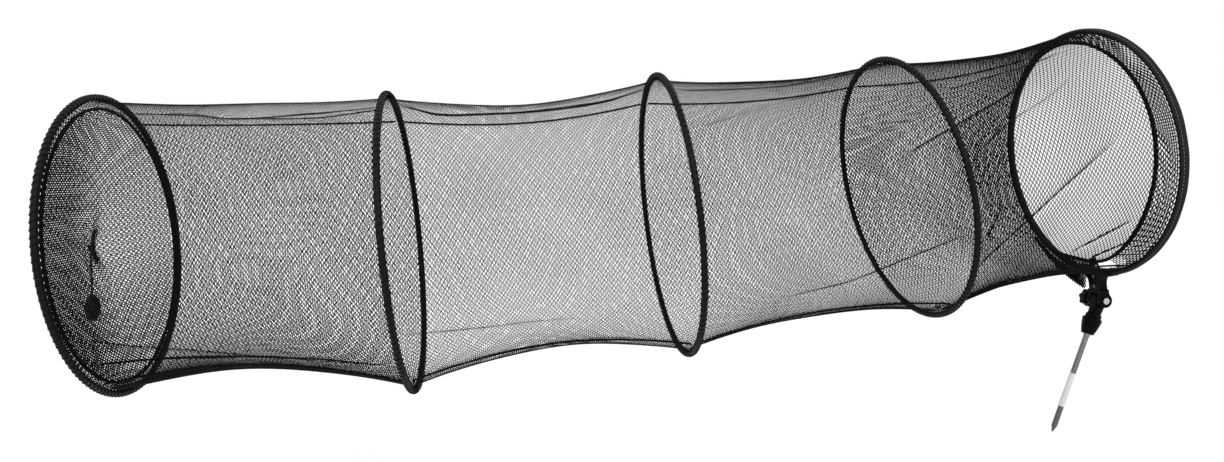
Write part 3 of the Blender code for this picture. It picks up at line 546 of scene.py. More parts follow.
def crowd(piece, index):
    """Bakes a section piece's placement into its mesh; its two hoops' rims are worked out but not used.
    """
    near, far = HOOPS[index], HOOPS[index + 1]
    for matrix in (near, far):
        rim = round_hoop(matrix, HOOP_RADIUS, np.linspace(0, 2 * math.pi, 73), 0.0)
    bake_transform(piece)


def outside_oval(share, turn, oval):
    """Which places on netting lie outside an oval parting in it."""
    place, wide, along, long = oval
    return ((np.degrees(turn) - place) / wide) ** 2 + ((share - along) / long) ** 2 > 1


def clear_of_block(share, turn):
    """The netting is parted just over the hoop block, and pulled open beside the knot."""
    return outside_oval(share, turn, OVER_BLOCK) & outside_oval(share, turn, BESIDE_KNOT)


def make_sections():
    """Each section's netting in two pieces, fore and aft."""
    for index in range(4):
        gap = (HOOPS[index].translation - HOOPS[index + 1].translation).length
        surface = settled(index, gap)
        rows = 2 * round(gap / CELLS_LONG[index])
        middle = rows // 2
        kept = clear_of_block if index == 0 else None
        for half, first, last in (("fore", 0, middle), ("aft", middle, rows)):
            name = f"section_{index + 1}_netting_{half}"
            piece = net_tube(name, surface, gap, rows, first, last, twine_round(index), kept)
            set_up(piece, [f"net_section_{index + 1}"])
            crowd(piece, index)


def tapered(widths):
    """The radius round a thread whose thickness changes from point to point."""
    def shape(along, angle):
        return widths[:, None] + 0 * angle

    return shape


def eased(values):
    """Values along a line with their corners rounded off and both ends kept."""
    padded = np.pad(values, EASE, mode="reflect", reflect_type="odd")
    return np.convolve(padded, np.full(2 * EASE + 1, 1 / (2 * EASE + 1)), mode="valid")


def make_pleats():
    """Netting caught in each crease, where a few twines lie side by side."""
    done = np.linspace(0, 1, PLEAT_PLACES)
    for index, creases in enumerate(CREASES):
        surface = bay_surface(index)
        axis = HOOPS[index].to_3x3() @ Vector((1, 0, 0)) + Vector((0, 0, 0.1))
        paths, shapes = [], []
        for places, wide, first, last, deep in creases:
            if not deep:
                continue
            shares, degrees = zip(*places)
            steps = np.linspace(0, 1, len(places))
            share = eased(np.interp(done, steps, shares))
            turn = np.radians(eased(np.interp(done, steps, degrees)))
            force = (first + (last - first) * done) * fading(done, PLEAT_FADE)
            thin = min(1, PLEAT_WIDE / wide)
            for aside in (-PLEAT_SPREAD, 0.0, PLEAT_SPREAD):
                sway = aside * np.cos(9 * done + 900 * aside) / NET_RIM
                paths.append(surface(share, turn + sway, -deep * force))
                shapes.append(tapered(PLEAT_TWINE * thin * force))
        piece = tubes(f"section_{index + 1}_pleats", paths, shapes, net_black, 4, False, axis)
        set_up(piece, [f"net_section_{index + 1}"])
        crowd(piece, index)


def make_seams():
    """The laid cords sewn along the net, just proud of its netting."""
    for index in range(4):
        surface = bay_surface(index)
        for name, degrees in (("low_seam", SEAM_TURN), ("high_seam", SEAM_TURN + 180)):
            turn = math.radians(degrees)
            first = (SEAM_STOP + (TAPE_WIDE if index == 0 else 0)) / SECTION
            share = np.linspace(first, 1 - SEAM_STOP / SECTION, 260)
            path = surface(share, np.full_like(share, turn), SEAM_PROUD)
            outward = HOOPS[index].to_3x3() @ Vector((0, -math.sin(turn), -math.cos(turn)))
            shape = laid_cord(SEAM_CORD / 2, 3, SEAM_LAY)
            piece = tube(f"{name}_line_{index + 1}", path, shape, cord_black, 12, False, outward)
            set_up(piece, [f"{name}_{index + 1}"])
            crowd(piece, index)


# Hoops

# How far the bound netting ripples, and how far clear of it the lacing lies.
HOOP_RIPPLE = 0.00018
LACING_LIFT = 0.0003


def make_hoops():
    """Each hoop's rod in its folded-over edge of netting, and the twine that laces it there."""
    for index, name in ((1, "hoop_2"), (2, "hoop_3"), (3, "hoop_4"), (4, "end_hoop")):
        matrix, body = HOOPS[index], BODIES[index]
        path = round_hoop(matrix, HOOP_RADIUS, full_turn(720), 0.0)
        ripple = 2 * math.pi * CELLS_ROUND / length_of(path, True)

        def bound(along, angle):
            return HOOP_BOUND / 2 + HOOP_RIPPLE * np.cos(ripple * along) * np.cos(3 * angle)

        axis = axis_of(matrix)
        piece = tube(f"{name}_bound_rod", path, bound, hoop_black, 12, True, axis)
        set_up(piece, [name], body)
        wind = full_turn(CELLS_ROUND * 10)
        coil = CELLS_ROUND * wind
        loose = HOOP_BOUND / 2 + LACING_LIFT
        lace = round_hoop(matrix, HOOP_RADIUS + loose * np.cos(coil), wind, loose * np.sin(coil))
        piece = tube(f"{name}_lacing", lace, plain_round(LACING / 2), cord_black, 5, True, axis)
        set_up(piece, [name], body)


# Mouth

# How much thicker than their solids both draw cords are drawn, and the points round each.
CORD_FULLER = 1.15
RING_POINTS = 900
# Where the mouth's draw cord is pulled off its round: degrees round, degrees wide, how far out.
CORD_PULLS = ((45, 32, -0.0085), (-4, 17, -0.0085), (115, 28, 0.0055), (-36, 12, 0.0045))
# The hem's twine, its length from tape to draw cord, and its rows of half cells.
HEM_TWINE = 0.00165
HEM_SPAN = 0.024
HEM_ROWS = 9
# Where the hem lies double: degrees round, degrees wide, how much thicker it looks.
HEM_THICKER = (52, 16, 0.32)
# The oval where it is parted round the knot, given as those of section 1 are.
ROUND_KNOT = (13, 7, 0.6, 0.6)
# The tape's row of stitches: its angle on the oval, the groove's width and depth there, the
# pucker along it and its pitch. Then how far the tape is from even, and its two waves' lengths
# over 2 pi.
TAPE_STITCH_ANGLE = math.radians(222)
GROOVE_WIDE = 0.22
GROOVE_DEEP = 0.0004
PUCKER = 0.0003
PUCKER_PITCH = 0.0056
TAPE_UNEVEN = 0.00025
TAPE_WAVES = (0.011, 0.037)
# The stitches: how many, degrees from the tape's end, length, rise and the thread's radius.
STITCHES = 200
STITCH_INSET = 1.5
STITCH_LONG = 0.0034
STITCH_RISE = 0.00035
STITCH_THREAD = 0.0004
# The mouth's knot: how far it sits back, its ring and swing, the cord's radius and lay, then its
# two loose ends, how far each runs aside and drops, how far both run forward and how far above the
# knot's middle they start, and their radius.
KNOT_BACK = 0.002
KNOT_RING = 0.0040
KNOT_SWING = 0.0019
KNOT_CORD = 0.0022
KNOT_LAY = 0.006
KNOT_ENDS = ((0.010, 0.013), (-0.006, 0.009))
KNOT_END_FORWARD = 0.004
KNOT_END_ABOVE = 0.002
KNOT_END_CORD = 0.0017
# The flap: degrees round, the places of its layers, its rows and the points in each, how far it
# hangs and slants back, and its twine's radius.
FLAP_TURNS = (-42, -3)
FLAP_LAYERS = (-0.0105, -0.0125, -0.0145)
FLAP_ROWS = 7
FLAP_POINTS = 53
FLAP_DROP = 0.024
FLAP_SLANT = 0.003
FLAP_TWINE = 0.0010


def ring_cord(name, path, thick, axis, body, replaced):
    """A draw cord, as a braid that runs round in a ring."""
    shape = braided_cord(thick / 2, 3, thick * 1.5, length_of(path, True))
    piece = tube(name, path, shape, cord_black, 12, True, axis)
    return set_up(piece, [replaced], body)


def mouth_cord_x(turn):
    return -MOUTH_CORD_SETBACK - MOUTH_CORD_SKEW * np.sin(turn)


def mouth_cord_radius(turn):
    degrees = (np.degrees(turn) + 180) % 360 - 180
    pulled = [out * np.exp(-(((degrees - place) / wide) ** 2)) for place, wide, out in CORD_PULLS]
    return MOUTH_CORD_RADIUS + sum(pulled)


def mouth_hem(share, turn):
    """The middle of the hem's netting, from the tape to the draw cord."""
    start, end = MOUTH_RADIUS - HEM_STEP_IN, mouth_cord_radius(turn)
    x_end = mouth_cord_x(turn) + MOUTH_CORD / 2 + CLEARANCE
    x = (x_end + TAPE_REAR) * share - TAPE_REAR
    return round_hoop(MOUTH, start + (end - start) * share, turn, x)


def clear_of_knot(share, turn):
    return outside_oval(share, turn, ROUND_KNOT)


def make_mouth():
    place, wide, more = HEM_THICKER
    degrees = np.degrees(full_turn(2 * CELLS_ROUND))
    twine = HEM_TWINE * (1 + more * np.exp(-(((degrees - place) / wide) ** 2)))
    rows = HEM_ROWS
    piece = net_tube("mouth_hem_netting", mouth_hem, HEM_SPAN, rows, 0, rows, twine, clear_of_knot)
    set_up(piece, ["mouth_hem"], "head")
    turn = full_turn(RING_POINTS)
    path = round_hoop(MOUTH, mouth_cord_radius(turn), turn, mouth_cord_x(turn))
    thick = CORD_FULLER * MOUTH_CORD
    ring_cord("mouth_drawcord", path, thick, axis_of(MOUTH), "head", "mouth_cord")
    make_tape()
    make_stitches()
    make_mouth_knot()
    make_flap()


def tape_radius(angle):
    """The oval round the hoop, from its centre."""
    return 1 / np.hypot(np.cos(angle) * 2 / TAPE_THICK, np.sin(angle) * 2 / TAPE_WIDE)


def make_tape():
    """The woven tape sewn over the mouth hoop, drawn in along its row of stitches."""
    end = math.radians(TAPE_END)
    turn = np.linspace(end, 2 * math.pi - end, 760)
    path = round_hoop(MOUTH, MOUTH_RADIUS, turn, -TAPE_SETBACK)
    short, long = TAPE_WAVES

    def shape(along, angle):
        groove = np.exp(-(((angle - TAPE_STITCH_ANGLE) / GROOVE_WIDE) ** 2))
        pucker = 0.5 + 0.5 * np.cos(2 * math.pi * along / PUCKER_PITCH)
        slack = TAPE_UNEVEN * np.sin(along / short + 2 * angle) * np.sin(along / long)
        return tape_radius(angle) - (GROOVE_DEEP + PUCKER * pucker) * groove + slack

    piece = tube("mouth_tape_sleeve", path, shape, tape_grey, 28, False, axis_of(MOUTH))
    set_up(piece, ["mouth_tape"], "head")


def make_stitches():
    """A row of short stitches in the tape's groove."""
    end = math.radians(TAPE_END + STITCH_INSET)
    starts = np.linspace(end, 2 * math.pi - end, STITCHES, endpoint=False)
    long = STITCH_LONG / MOUTH_RADIUS
    reach = tape_radius(TAPE_STITCH_ANGLE) - GROOVE_DEEP
    done = np.linspace(0, 1, 5)
    lift = STITCH_RISE * np.sin(math.pi * done)
    out = (reach + lift) * -math.cos(TAPE_STITCH_ANGLE)
    aside = (reach + lift) * math.sin(TAPE_STITCH_ANGLE)
    paths = []
    for start in starts:
        turn = start + long * done
        paths.append(round_hoop(MOUTH, MOUTH_RADIUS + out, turn, -TAPE_SETBACK + aside))
    thread = plain_round(STITCH_THREAD)
    piece = tubes("mouth_tape_stitches", paths, thread, stitch_grey, 5, False, axis_of(MOUTH))
    set_up(piece, ["mouth_tape"], "head")


def knot_path(matrix, ring, swing, count=90):
    """A closed overhand knot round a frame's X axis."""
    t = full_turn(count)
    reach = ring + swing * np.cos(3 * t)
    return placed(matrix, swing * np.sin(3 * t), reach * np.cos(2 * t), reach * np.sin(2 * t))


def make_mouth_knot():
    """The draw cord's knot low on the near side, and its two loose ends."""
    turn = math.radians(MOUTH_KNOT_TURN)
    radius = mouth_cord_radius(turn)
    centre = Vector(round_hoop(MOUTH, radius, np.array(turn), mouth_cord_x(turn) - KNOT_BACK))
    along = Matrix.Rotation(math.pi / 2 + turn, 4, "Z")
    matrix = Matrix.Translation(centre) @ MOUTH.to_3x3().to_4x4() @ along
    path = knot_path(matrix, KNOT_RING, KNOT_SWING)
    shape = laid_cord(KNOT_CORD, 3, KNOT_LAY, length_of(path, True))
    axis = matrix.to_3x3() @ Vector((1, 0, 0))
    piece = tube("mouth_cord_knot", path, shape, cord_black, 10, True, axis)
    set_up(piece, ["mouth_cord"], "head")
    ends = []
    share = np.linspace(0, 1, 14)
    for side, drop in KNOT_ENDS:
        tail = np.array(centre) + share[:, None] * np.array((KNOT_END_FORWARD, -side, 0.0))
        tail[:, 2] -= drop * share ** 2 - KNOT_END_ABOVE
        ends.append(tail)
    shape = plain_round(KNOT_END_CORD)
    piece = tubes("mouth_cord_ends", ends, shape, cord_black, 8, False, (0, 1, 0.2))
    set_up(piece, ["mouth_cord"], "head")


def make_flap():
    """Spare netting folded over the hoop, hanging behind the far arm of the block."""
    first, last = (math.radians(degrees) for degrees in FLAP_TURNS)
    reach = MOUTH_RADIUS + 0.3 * TAPE_THICK
    turn = np.linspace(first, last, FLAP_POINTS)
    level = (turn - first) / (last - first)
    paths = []
    for layer, back in enumerate(FLAP_LAYERS):
        for row in range(FLAP_ROWS):
            step = (row + (np.arange(FLAP_POINTS) + row + layer) % 2) / FLAP_ROWS
            drop = FLAP_DROP * level ** 1.5 * step
            paths.append(round_hoop(MOUTH, reach + drop, turn, back - FLAP_SLANT * step * level))
    shape = plain_round(FLAP_TWINE)
    piece = tubes("mouth_netting_flap", paths, shape, net_black, 4, False, axis_of(MOUTH))
    set_up(piece, ["mouth_hem"], "head")


# Closed end

# The end hem's twine, its length from draw cord to hoop, and its rows of half cells.
END_HEM_TWINE = 0.00135
END_HEM_SPAN = 0.0075
END_HEM_ROWS = 3
# The end panel's twine, how far inside the draw cord's middle it ends, and how far its cells are
# dragged to the near side: most at PANEL_SHIFT_FROM, and not at the knot or the rim.
PANEL_TWINE = 0.00149
PANEL_INSET = 0.0018
PANEL_SHIFT = 0.036
PANEL_SHIFT_FROM = 0.03
# How much its cells are gathered at the middle, and how far out that reaches.
PANEL_GATHERED = 0.45
PANEL_GATHERED_TO = 0.030
# The upright fold that runs through the knot: how far it draws the cells in, over what width, its
# half height, and how far to its sides that reaches.
FOLD_DRAWN = 0.0150
FOLD_WIDE = 0.0175
FOLD_TALL = 0.040
FOLD_REACH = 0.05
# How much thicker the twine looks towards the near side and low down, and how far out in full.
PANEL_THICKER_NEAR = 0.46
PANEL_NEAR_FULL = 0.10
PANEL_THICKER_LOW = 0.28
PANEL_LOW_FULL = 0.12
# How much thicker it looks in the fold's dark patch, a painted shadow where the drawn point's dip is in
# shade, and that patch's place, width and height.
PANEL_FOLD_SHADOW_THICKER = 0.8
PANEL_FOLD_SHADOW_PATCH = (-0.012, 0.010, 0.034)
# The cord tied round the drawn point: where its turns start and how far they run, how many there
# are, their radius, the cord's radius and lay, then the knot's setback, ring and swing.
TIE_START = 0.0042
TIE_LONG = 0.0060
TIE_TURNS = 3.5
TIE_RADIUS = 0.0031
TIE_CORD = 0.0010
TIE_LAY = 0.005
TIE_KNOT_BACK = 0.0006
TIE_KNOT_RING = 0.0022
TIE_KNOT_SWING = 0.0010


def end_hem(share, turn):
    """The middle of the end hem's netting, from the draw cord out to the hoop."""
    start = END_CORD_RADIUS + END_CORD / 2 + CLEARANCE
    return round_hoop(HOOPS[4], start + (END_HEM_REACH - start) * share, turn, 0.0 * turn)


def make_end():
    matrix = HOOPS[4]
    path = round_hoop(matrix, END_CORD_RADIUS, full_turn(RING_POINTS), 0.0)
    thick = CORD_FULLER * END_CORD
    ring_cord("end_drawcord", path, thick, axis_of(matrix), "closed_end", "end_cord")
    rows = END_HEM_ROWS
    piece = net_tube("end_hem_netting", end_hem, END_HEM_SPAN, rows, 0, rows, END_HEM_TWINE)
    set_up(piece, ["end_hem"], "closed_end")
    set_up(end_panel(matrix), ["end_panel"], "closed_end")
    make_end_knot()


def drawn_out(radius):
    """How far the end netting stands out behind its cord, from the knot to the rim."""
    limit = END_CORD_RADIUS - END_CORD / 2 - CLEARANCE
    shares, depths = zip(*PANEL_SHARES)
    return -PANEL_DEPTH * np.interp(np.clip(radius / limit, 0, 1), shares, depths)


def panel_thicker(y, z):
    """How much thicker than PANEL_TWINE the end panel's twine looks at each place."""
    aside, wide, tall = PANEL_FOLD_SHADOW_PATCH
    near = PANEL_THICKER_NEAR * np.clip(-y / PANEL_NEAR_FULL, 0, 1)
    low = PANEL_THICKER_LOW * np.clip(-z / PANEL_LOW_FULL, 0, 1)
    # The last term is the painted shadow in the fold's dark patch.
    return near + low + PANEL_FOLD_SHADOW_THICKER * np.exp(-(((y - aside) / wide) ** 2) - (z / tall) ** 2)


def end_panel(matrix):
    """Zigzag twines across the closed end, cut to a disc and drawn out to the knot."""
    limit = END_CORD_RADIUS - PANEL_INSET
    half_tall, half_wide = CELLS_LONG[3] / 2, math.pi * NET_RIM / CELLS_ROUND
    rows = int(limit / half_tall) + 1
    reach = int(limit / half_wide) + 1
    k = np.arange(-reach, reach + 1)
    paths, shapes = [], []
    for row in range(-rows, rows):
        high = (row + k) % 2
        z = (row + high) * half_tall + np.where(high, -TOUCH, TOUCH) * PANEL_TWINE
        y = k * half_wide
        far = np.hypot(y, z)
        kept = far < limit
        if kept.sum() < 3:
            continue
        y, z, far = y[kept], z[kept], far[kept]
        drawn = 1 - PANEL_GATHERED * np.exp(-((far / PANEL_GATHERED_TO) ** 2))
        dragged = PANEL_SHIFT * (1 - (far / limit) ** 2) * np.minimum(1, far / PANEL_SHIFT_FROM)
        y = y * drawn - dragged
        z = z * drawn
        beside = np.exp(-((z / FOLD_TALL) ** 2) - np.abs(y) / FOLD_REACH)
        y = y - FOLD_DRAWN * np.tanh(y / FOLD_WIDE) * beside
        paths.append(placed(matrix, drawn_out(np.hypot(y, z)), y, z))
        shapes.append(tapered(0.5 * PANEL_TWINE * (1 + panel_thicker(y, z))))
    return tubes("end_panel_netting", paths, shapes, net_black, 3, False, axis_of(matrix))


def make_end_knot():
    """The netting's drawn point, tied with a few turns of cord and a knot."""
    low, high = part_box("end_knot")
    middle = (Vector(low) + Vector(high)) / 2
    matrix = Matrix.Translation(middle)
    t = np.linspace(0, 1, 90)
    wind = 2 * math.pi * TIE_TURNS * t
    across, up = TIE_RADIUS * np.cos(wind), TIE_RADIUS * np.sin(wind)
    turns = placed(matrix, TIE_START - TIE_LONG * t, across, up)
    set_back = Matrix.Translation(middle + Vector((-TIE_KNOT_BACK, 0, 0)))
    knot = knot_path(set_back, TIE_KNOT_RING, TIE_KNOT_SWING)
    shape = laid_cord(TIE_CORD, 3, TIE_LAY)
    for name, path, closed in (("end_knot_turns", turns, False), ("end_knot_bow", knot, True)):
        piece = tube(name, path, shape, cord_black, 8, closed, (1, 0, 0))
        set_up(piece, ["end_knot"], "closed_end")


# Shader groups and materials

def new_group(name, inputs, outputs):
    """A shader group with named inputs and outputs, and its two end nodes."""
    group = bpy.data.node_groups.new(name, "ShaderNodeTree")
    for label, kind, value in inputs:
        socket = group.interface.new_socket(label, in_out="INPUT", socket_type=kind)
        socket.default_value = value
    for label, kind in outputs:
        group.interface.new_socket(label, in_out="OUTPUT", socket_type=kind)
    return group, group.nodes.new("NodeGroupInput"), group.nodes.new("NodeGroupOutput")


def make_patches_group():
    """Soft patches between two colours and two roughnesses, at a set scale."""
    group, entry, leave = new_group(
        "patchy_finish",
        [
            ("Scale", "NodeSocketFloat", 60.0),
            ("Dark", "NodeSocketColor", (0.01, 0.01, 0.01, 1)),
            ("Light", "NodeSocketColor", (0.03, 0.03, 0.03, 1)),
            ("Smooth", "NodeSocketFloat", 0.35),
            ("Rough", "NodeSocketFloat", 0.55),
        ],
        [("Color", "NodeSocketColor"), ("Roughness", "NodeSocketFloat"), ("Height", "NodeSocketFloat")],
    )
    place = group.nodes.new("ShaderNodeTexCoord")
    noise = group.nodes.new("ShaderNodeTexNoise")
    noise.inputs["Detail"].default_value = 3.0
    noise.inputs["Roughness"].default_value = 0.6
    colour = group.nodes.new("ShaderNodeMix")
    colour.data_type = "RGBA"
    rough = group.nodes.new("ShaderNodeMix")
    rough.data_type = "FLOAT"
    link = group.links.new
    link(place.outputs["Object"], noise.inputs["Vector"])
    link(entry.outputs["Scale"], noise.inputs["Scale"])
    link(noise.outputs["Fac"], colour.inputs[0])
    link(entry.outputs["Dark"], colour.inputs[6])
    link(entry.outputs["Light"], colour.inputs[7])
    link(noise.outputs["Fac"], rough.inputs[0])
    link(entry.outputs["Smooth"], rough.inputs[2])
    link(entry.outputs["Rough"], rough.inputs[3])
    link(colour.outputs[2], leave.inputs["Color"])
    link(rough.outputs[0], leave.inputs["Roughness"])
    link(noise.outputs["Fac"], leave.inputs["Height"])
    return group


def maths(group, operation, first, second=None):
    """A maths node whose inputs are sockets or plain numbers; gives its output."""
    node = group.nodes.new("ShaderNodeMath")
    node.operation = operation
    for socket, value in zip(node.inputs, (first, second)):
        if value is None:
            continue
        if isinstance(value, (int, float)):
            socket.default_value = value
        else:
            group.links.new(value, socket)
    return node.outputs[0]


def make_weave_group():
    """Yarns that cross on the slant over a tube's own map: Along and Around count them."""
    group, entry, leave = new_group(
        "slanting_yarns",
        [
            ("Along", "NodeSocketFloat", 400.0),
            ("Around", "NodeSocketFloat", 6.0),
            ("Dark", "NodeSocketColor", (0.01, 0.01, 0.01, 1)),
            ("Light", "NodeSocketColor", (0.03, 0.03, 0.03, 1)),
        ],
        [("Color", "NodeSocketColor"), ("Height", "NodeSocketFloat")],
    )
    place = group.nodes.new("ShaderNodeUVMap")
    place.uv_map = "OFBake"
    split = group.nodes.new("ShaderNodeSeparateXYZ")
    group.links.new(place.outputs["UV"], split.inputs[0])
    along = maths(group, "MULTIPLY", split.outputs["X"], entry.outputs["Along"])
    around = maths(group, "MULTIPLY", split.outputs["Y"], entry.outputs["Around"])
    waves = []
    for operation in ("ADD", "SUBTRACT"):
        slant = maths(group, operation, along, around)
        waves.append(maths(group, "SINE", maths(group, "MULTIPLY", slant, 2 * math.pi)))
    height = maths(group, "ADD", maths(group, "MULTIPLY", maths(group, "MAXIMUM", *waves), 0.5), 0.5)
    speck = group.nodes.new("ShaderNodeTexNoise")
    speck.inputs["Scale"].default_value = 220.0
    speck.inputs["Detail"].default_value = 2.0
    # Painted shade: the grooves between the yarns get the dark colour and their crests the light one,
    # with specks of wear varying it.
    groove_shade_and_wear = maths(group, "MULTIPLY", height, maths(group, "ADD", speck.outputs["Fac"], 0.4))
    colour = group.nodes.new("ShaderNodeMix")
    colour.data_type = "RGBA"
    group.links.new(groove_shade_and_wear, colour.inputs[0])
    group.links.new(entry.outputs["Dark"], colour.inputs[6])
    group.links.new(entry.outputs["Light"], colour.inputs[7])
    group.links.new(colour.outputs[2], leave.inputs["Color"])
    group.links.new(height, leave.inputs["Height"])
    return group


PATCHES = make_patches_group()
YARNS = make_weave_group()


def start_material(name, group, metallic=0.0, specular=0.5):
    """A new material whose colour comes from a shader group."""
    material = bpy.data.materials.new(name)
    material.use_nodes = True
    tree = material.node_tree
    shader = tree.nodes["Principled BSDF"]
    shader.inputs["Metallic"].default_value = metallic
    shader.inputs["Specular IOR Level"].default_value = specular
    effect = tree.nodes.new("ShaderNodeGroup")
    effect.node_tree = group
    tree.links.new(effect.outputs["Color"], shader.inputs["Base Color"])
    return material, tree, shader, effect


def add_relief(tree, shader, height, strength, depth):
    relief = tree.nodes.new("ShaderNodeBump")
    relief.inputs["Strength"].default_value = strength
    relief.inputs["Distance"].default_value = depth
    tree.links.new(height, relief.inputs["Height"])
    tree.links.new(relief.outputs["Normal"], shader.inputs["Normal"])


def finish(name, dark, light, smooth, rough, scale, metallic=0.0, specular=0.5, bump=0.0):
    """Moulded, turned or spun stuff, with soft patches of colour and gloss."""
    material, tree, shader, patches = start_material(name, PATCHES, metallic, specular)
    patches.inputs["Scale"].default_value = scale
    patches.inputs["Dark"].default_value = (*dark, 1)
    patches.inputs["Light"].default_value = (*light, 1)
    patches.inputs["Smooth"].default_value = smooth
    patches.inputs["Rough"].default_value = rough
    tree.links.new(patches.outputs["Roughness"], shader.inputs["Roughness"])
    if bump:
        add_relief(tree, shader, patches.outputs["Height"], bump, 0.0005)
    return material


def woven(name, dark, light, along, around, rough, specular, bump):
    """Cord or tape of slanting yarns, counted along and around its own map."""
    material, tree, shader, yarns = start_material(name, YARNS, 0.0, specular)
    yarns.inputs["Along"].default_value = along
    yarns.inputs["Around"].default_value = around
    yarns.inputs["Dark"].default_value = (*dark, 1)
    yarns.inputs["Light"].default_value = (*light, 1)
    shader.inputs["Roughness"].default_value = rough
    add_relief(tree, shader, yarns.outputs["Height"], bump, 0.0003)
    return material


def grey(value):
    """A grey that is a trace cool."""
    return (value, value, value * 1.02)


# Each has a name, a dark and a light colour. A finish then has the roughness of its smooth and of
# its rough patches and their scale, and a woven one its yarns along and around, its roughness,
# specular and bump.
net_black = finish("net_black", grey(0.004), grey(0.008), 0.6, 0.8, 90, specular=0.06)
hoop_black = woven("hoop_black", grey(0.003), grey(0.007), 280.0, 3.0, 0.45, 0.10, 0.5)
cord_black = woven("cord_black", grey(0.003), grey(0.008), 340.0, 3.0, 0.7, 0.06, 0.5)
tape_grey = woven("tape_grey", grey(0.006), grey(0.022), 520.0, 14.0, 0.85, 0.10, 0.6)
stitch_grey = finish("stitch_grey", grey(0.11), grey(0.19), 0.6, 0.8, 300, specular=0.2)
plastic_black = finish(
    "plastic_black", grey(0.0012), grey(0.0028), 0.38, 0.5, 300, specular=0.05, bump=0.08
)
toggle_dark = finish("toggle_dark", grey(0.035), grey(0.060), 0.5, 0.7, 300, specular=0.1, bump=0.08)
toggle_cord_grey = woven("toggle_cord_grey", grey(0.10), grey(0.20), 40.0, 3.0, 0.8, 0.06, 0.5)
ferrule_grey = finish("ferrule_grey", grey(0.06), grey(0.14), 0.3, 0.5, 200, metallic=1.0)
steel = finish("steel", grey(0.08), grey(0.14), 0.3, 0.45, 200, metallic=1.0)
bright_steel = finish("bright_steel", grey(0.45), grey(0.60), 0.25, 0.4, 200, metallic=1.0)
collar_steel = finish("collar_steel", grey(0.26), grey(0.36), 0.3, 0.45, 200, metallic=1.0)
washer_dark = finish("washer_dark", grey(0.01), grey(0.02), 0.5, 0.7, 200, specular=0.2)
brass = finish("brass", (0.45, 0.32, 0.12), (0.6, 0.45, 0.2), 0.3, 0.45, 200, metallic=1.0)
label_white = finish("label_white", grey(0.62), grey(0.82), 0.4, 0.6, 60, bump=0.1)


def make_rod_finish():
    """Satin rod, its colour darker towards its point."""
    material, tree, shader, patches = start_material("rod_grey", PATCHES, 1.0)
    patches.inputs["Scale"].default_value = 350.0
    patches.inputs["Dark"].default_value = (*grey(0.12), 1)
    patches.inputs["Light"].default_value = (*grey(0.20), 1)
    place = tree.nodes.new("ShaderNodeTexCoord")
    split = tree.nodes.new("ShaderNodeSeparateXYZ")
    tree.links.new(place.outputs["Object"], split.inputs[0])
    # The colour is scaled by height, from 0.8 near the point to 1.4 higher up.
    height = tree.nodes.new("ShaderNodeMapRange")
    height.inputs["From Min"].default_value = 0.02
    height.inputs["From Max"].default_value = 0.16
    height.inputs["To Min"].default_value = 0.8
    height.inputs["To Max"].default_value = 1.4
    tree.links.new(split.outputs["Z"], height.inputs["Value"])
    bright = tree.nodes.new("ShaderNodeVectorMath")
    bright.operation = "SCALE"
    tree.links.new(patches.outputs["Color"], bright.inputs[0])
    tree.links.new(height.outputs["Result"], bright.inputs["Scale"])
    tree.links.new(bright.outputs["Vector"], shader.inputs["Base Color"])
    tree.links.new(patches.outputs["Roughness"], shader.inputs["Roughness"])
    add_relief(tree, shader, patches.outputs["Height"], 0.05, 0.0005)
    return material


rod_grey = make_rod_finish()


def dress_nodes():
    """The solid parts that show as they are get their finishes."""
    looks = {
        "mouth_hoop": hoop_black,
        "hoop_block": plastic_black,
        "block_cover": plastic_black,
        "tilt_arm": plastic_black,
        "spike_head": plastic_black,
        "clamp_knob": plastic_black,
        "spike_rod": rod_grey,
        "spike_label": label_white,
        "spike_collar": collar_steel,
        "tilt_bolt": bright_steel,
        "arm_stud": steel,
        "head_insert": brass,
        "knob_insert": brass,
        "knob_washer": washer_dark,
        "friction_disc_near": washer_dark,
        "friction_disc_far": washer_dark,
        "upper_screw": steel,
        "lower_screw": steel,
        "ferrule_2": ferrule_grey,
        "ferrule_3": ferrule_grey,
        "ferrule_4": ferrule_grey,
        "end_ferrule": ferrule_grey,
        "toggle": toggle_dark,
    }
    for name, material in looks.items():
        slots = nodes[name].data.materials
        slots.clear()
        slots.append(material)


def make_toggle_cord():
    """The cord that hangs straight down from the drawn point to the toggle."""
    low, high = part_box("toggle_cord")
    top = Vector(((low[0] + high[0]) / 2, (low[1] + high[1]) / 2, high[2]))
    count = 24
    curve = bpy.data.curves.new("toggle_line", "CURVE")
    curve.dimensions = "3D"
    curve.bevel_depth = TOGGLE_CORD / 2
    curve.bevel_resolution = 3
    curve.use_fill_caps = True
    spline = curve.splines.new("POLY")
    spline.points.add(count - 1)
    for i, point in enumerate(spline.points):
        point.co = (*(top + Vector((0, 0, -TOGGLE_CORD_LENGTH * i / (count - 1)))), 1)
    piece = bpy.data.objects.new("toggle_line", curve)
    bpy.context.scene.collection.objects.link(piece)
    curve.materials.append(toggle_cord_grey)
    set_up(piece, ["toggle_cord"], "toggle")


# Room

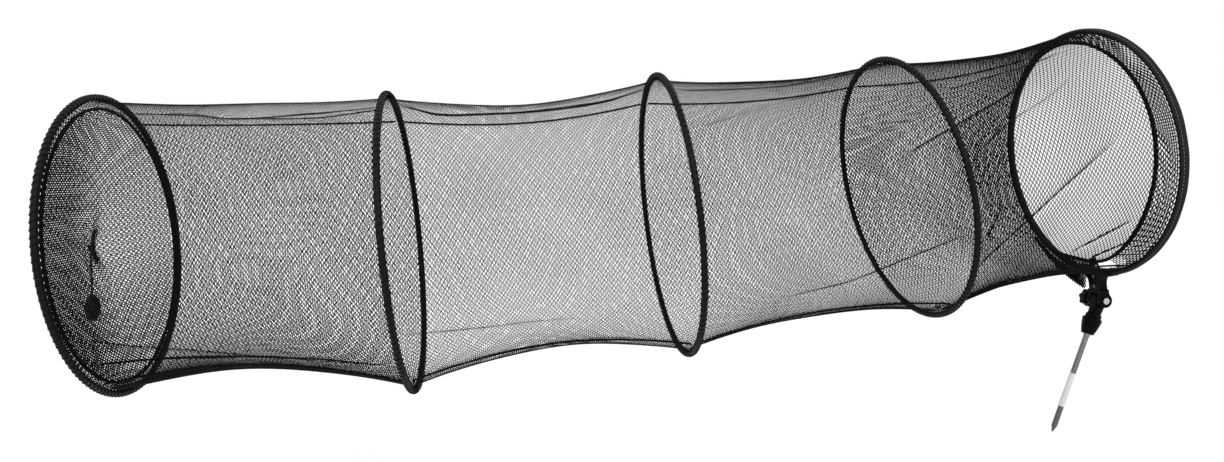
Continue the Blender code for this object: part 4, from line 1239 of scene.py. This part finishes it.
def make_room():
    """White surroundings, two soft lamps and the floor."""
    world = bpy.data.worlds.new("studio")
    bpy.context.scene.world = world
    world.use_nodes = True
    tree = world.node_tree
    tree.nodes.clear()
    out = tree.nodes.new("ShaderNodeOutputWorld")
    seen = tree.nodes.new("ShaderNodeBackground")
    seen.inputs["Color"].default_value = (1, 1, 1, 1)
    lit = tree.nodes.new("ShaderNodeBackground")
    lit.inputs["Color"].default_value = (1, 1, 1, 1)
    lit.inputs["Strength"].default_value = 0.75
    mix = tree.nodes.new("ShaderNodeMixShader")
    link = tree.links.new
    link(white_rays(tree), mix.inputs[0])
    link(lit.outputs[0], mix.inputs[1])
    link(seen.outputs[0], mix.inputs[2])
    link(mix.outputs[0], out.inputs["Surface"])
    make_floor()
    for name, place, aim, size, power in (
        ("key", (-0.2, -2.6, 2.4), (-0.6, 0, 0.35), 1.6, 45.0),
        ("fill", (-3.2, -0.6, 1.6), (-0.7, 0, 0.35), 1.4, 16.0),
    ):
        lamp = bpy.data.lights.new(name, "AREA")
        lamp.size = size
        lamp.energy = power
        item = bpy.data.objects.new(name, lamp)
        bpy.context.scene.collection.objects.link(item)
        item.location = place
        item.rotation_euler = (Vector(aim) - Vector(place)).to_track_quat("-Z", "Y").to_euler()
    bpy.context.scene.view_settings.view_transform = "Standard"


def white_rays(tree):
    """1 for the rays that should see a plain white backdrop."""
    path = tree.nodes.new("ShaderNodeLightPath")
    total = path.outputs["Is Camera Ray"]
    for kind in ("Is Glossy Ray", "Is Transmission Ray"):
        either = tree.nodes.new("ShaderNodeMath")
        either.operation = "MAXIMUM"
        tree.links.new(total, either.inputs[0])
        tree.links.new(path.outputs[kind], either.inputs[1])
        total = either.outputs[0]
    return total


def make_floor():
    """A matt floor just under the spike's point, mostly plain white to the camera."""
    size = 9.0
    points = np.array([(-size, -size, 0), (size, -size, 0), (size, size, 0), (-size, size, 0)])
    material = bpy.data.materials.new("floor_white")
    material.use_nodes = True
    tree = material.node_tree
    tree.nodes.clear()
    out = tree.nodes.new("ShaderNodeOutputMaterial")
    diffuse = tree.nodes.new("ShaderNodeBsdfDiffuse")
    diffuse.inputs["Color"].default_value = (0.88, 0.88, 0.88, 1)
    glow = tree.nodes.new("ShaderNodeEmission")
    glow.inputs["Strength"].default_value = 1.12
    mix = tree.nodes.new("ShaderNodeMixShader")
    share = tree.nodes.new("ShaderNodeMath")
    share.operation = "MULTIPLY"
    share.inputs[1].default_value = 0.8
    link = tree.links.new
    link(white_rays(tree), share.inputs[0])
    link(share.outputs[0], mix.inputs[0])
    link(diffuse.outputs[0], mix.inputs[1])
    link(glow.outputs[0], mix.inputs[2])
    link(mix.outputs[0], out.inputs["Surface"])
    floor = build("floor", points, [np.array([[0, 1, 2, 3]])], material, smooth=False)
    floor.location.z = -0.0005


make_camera()
make_toggle_cord()
make_sections()
make_pleats()
make_seams()
make_hoops()
make_mouth()
make_end()
dress_nodes()
make_room()
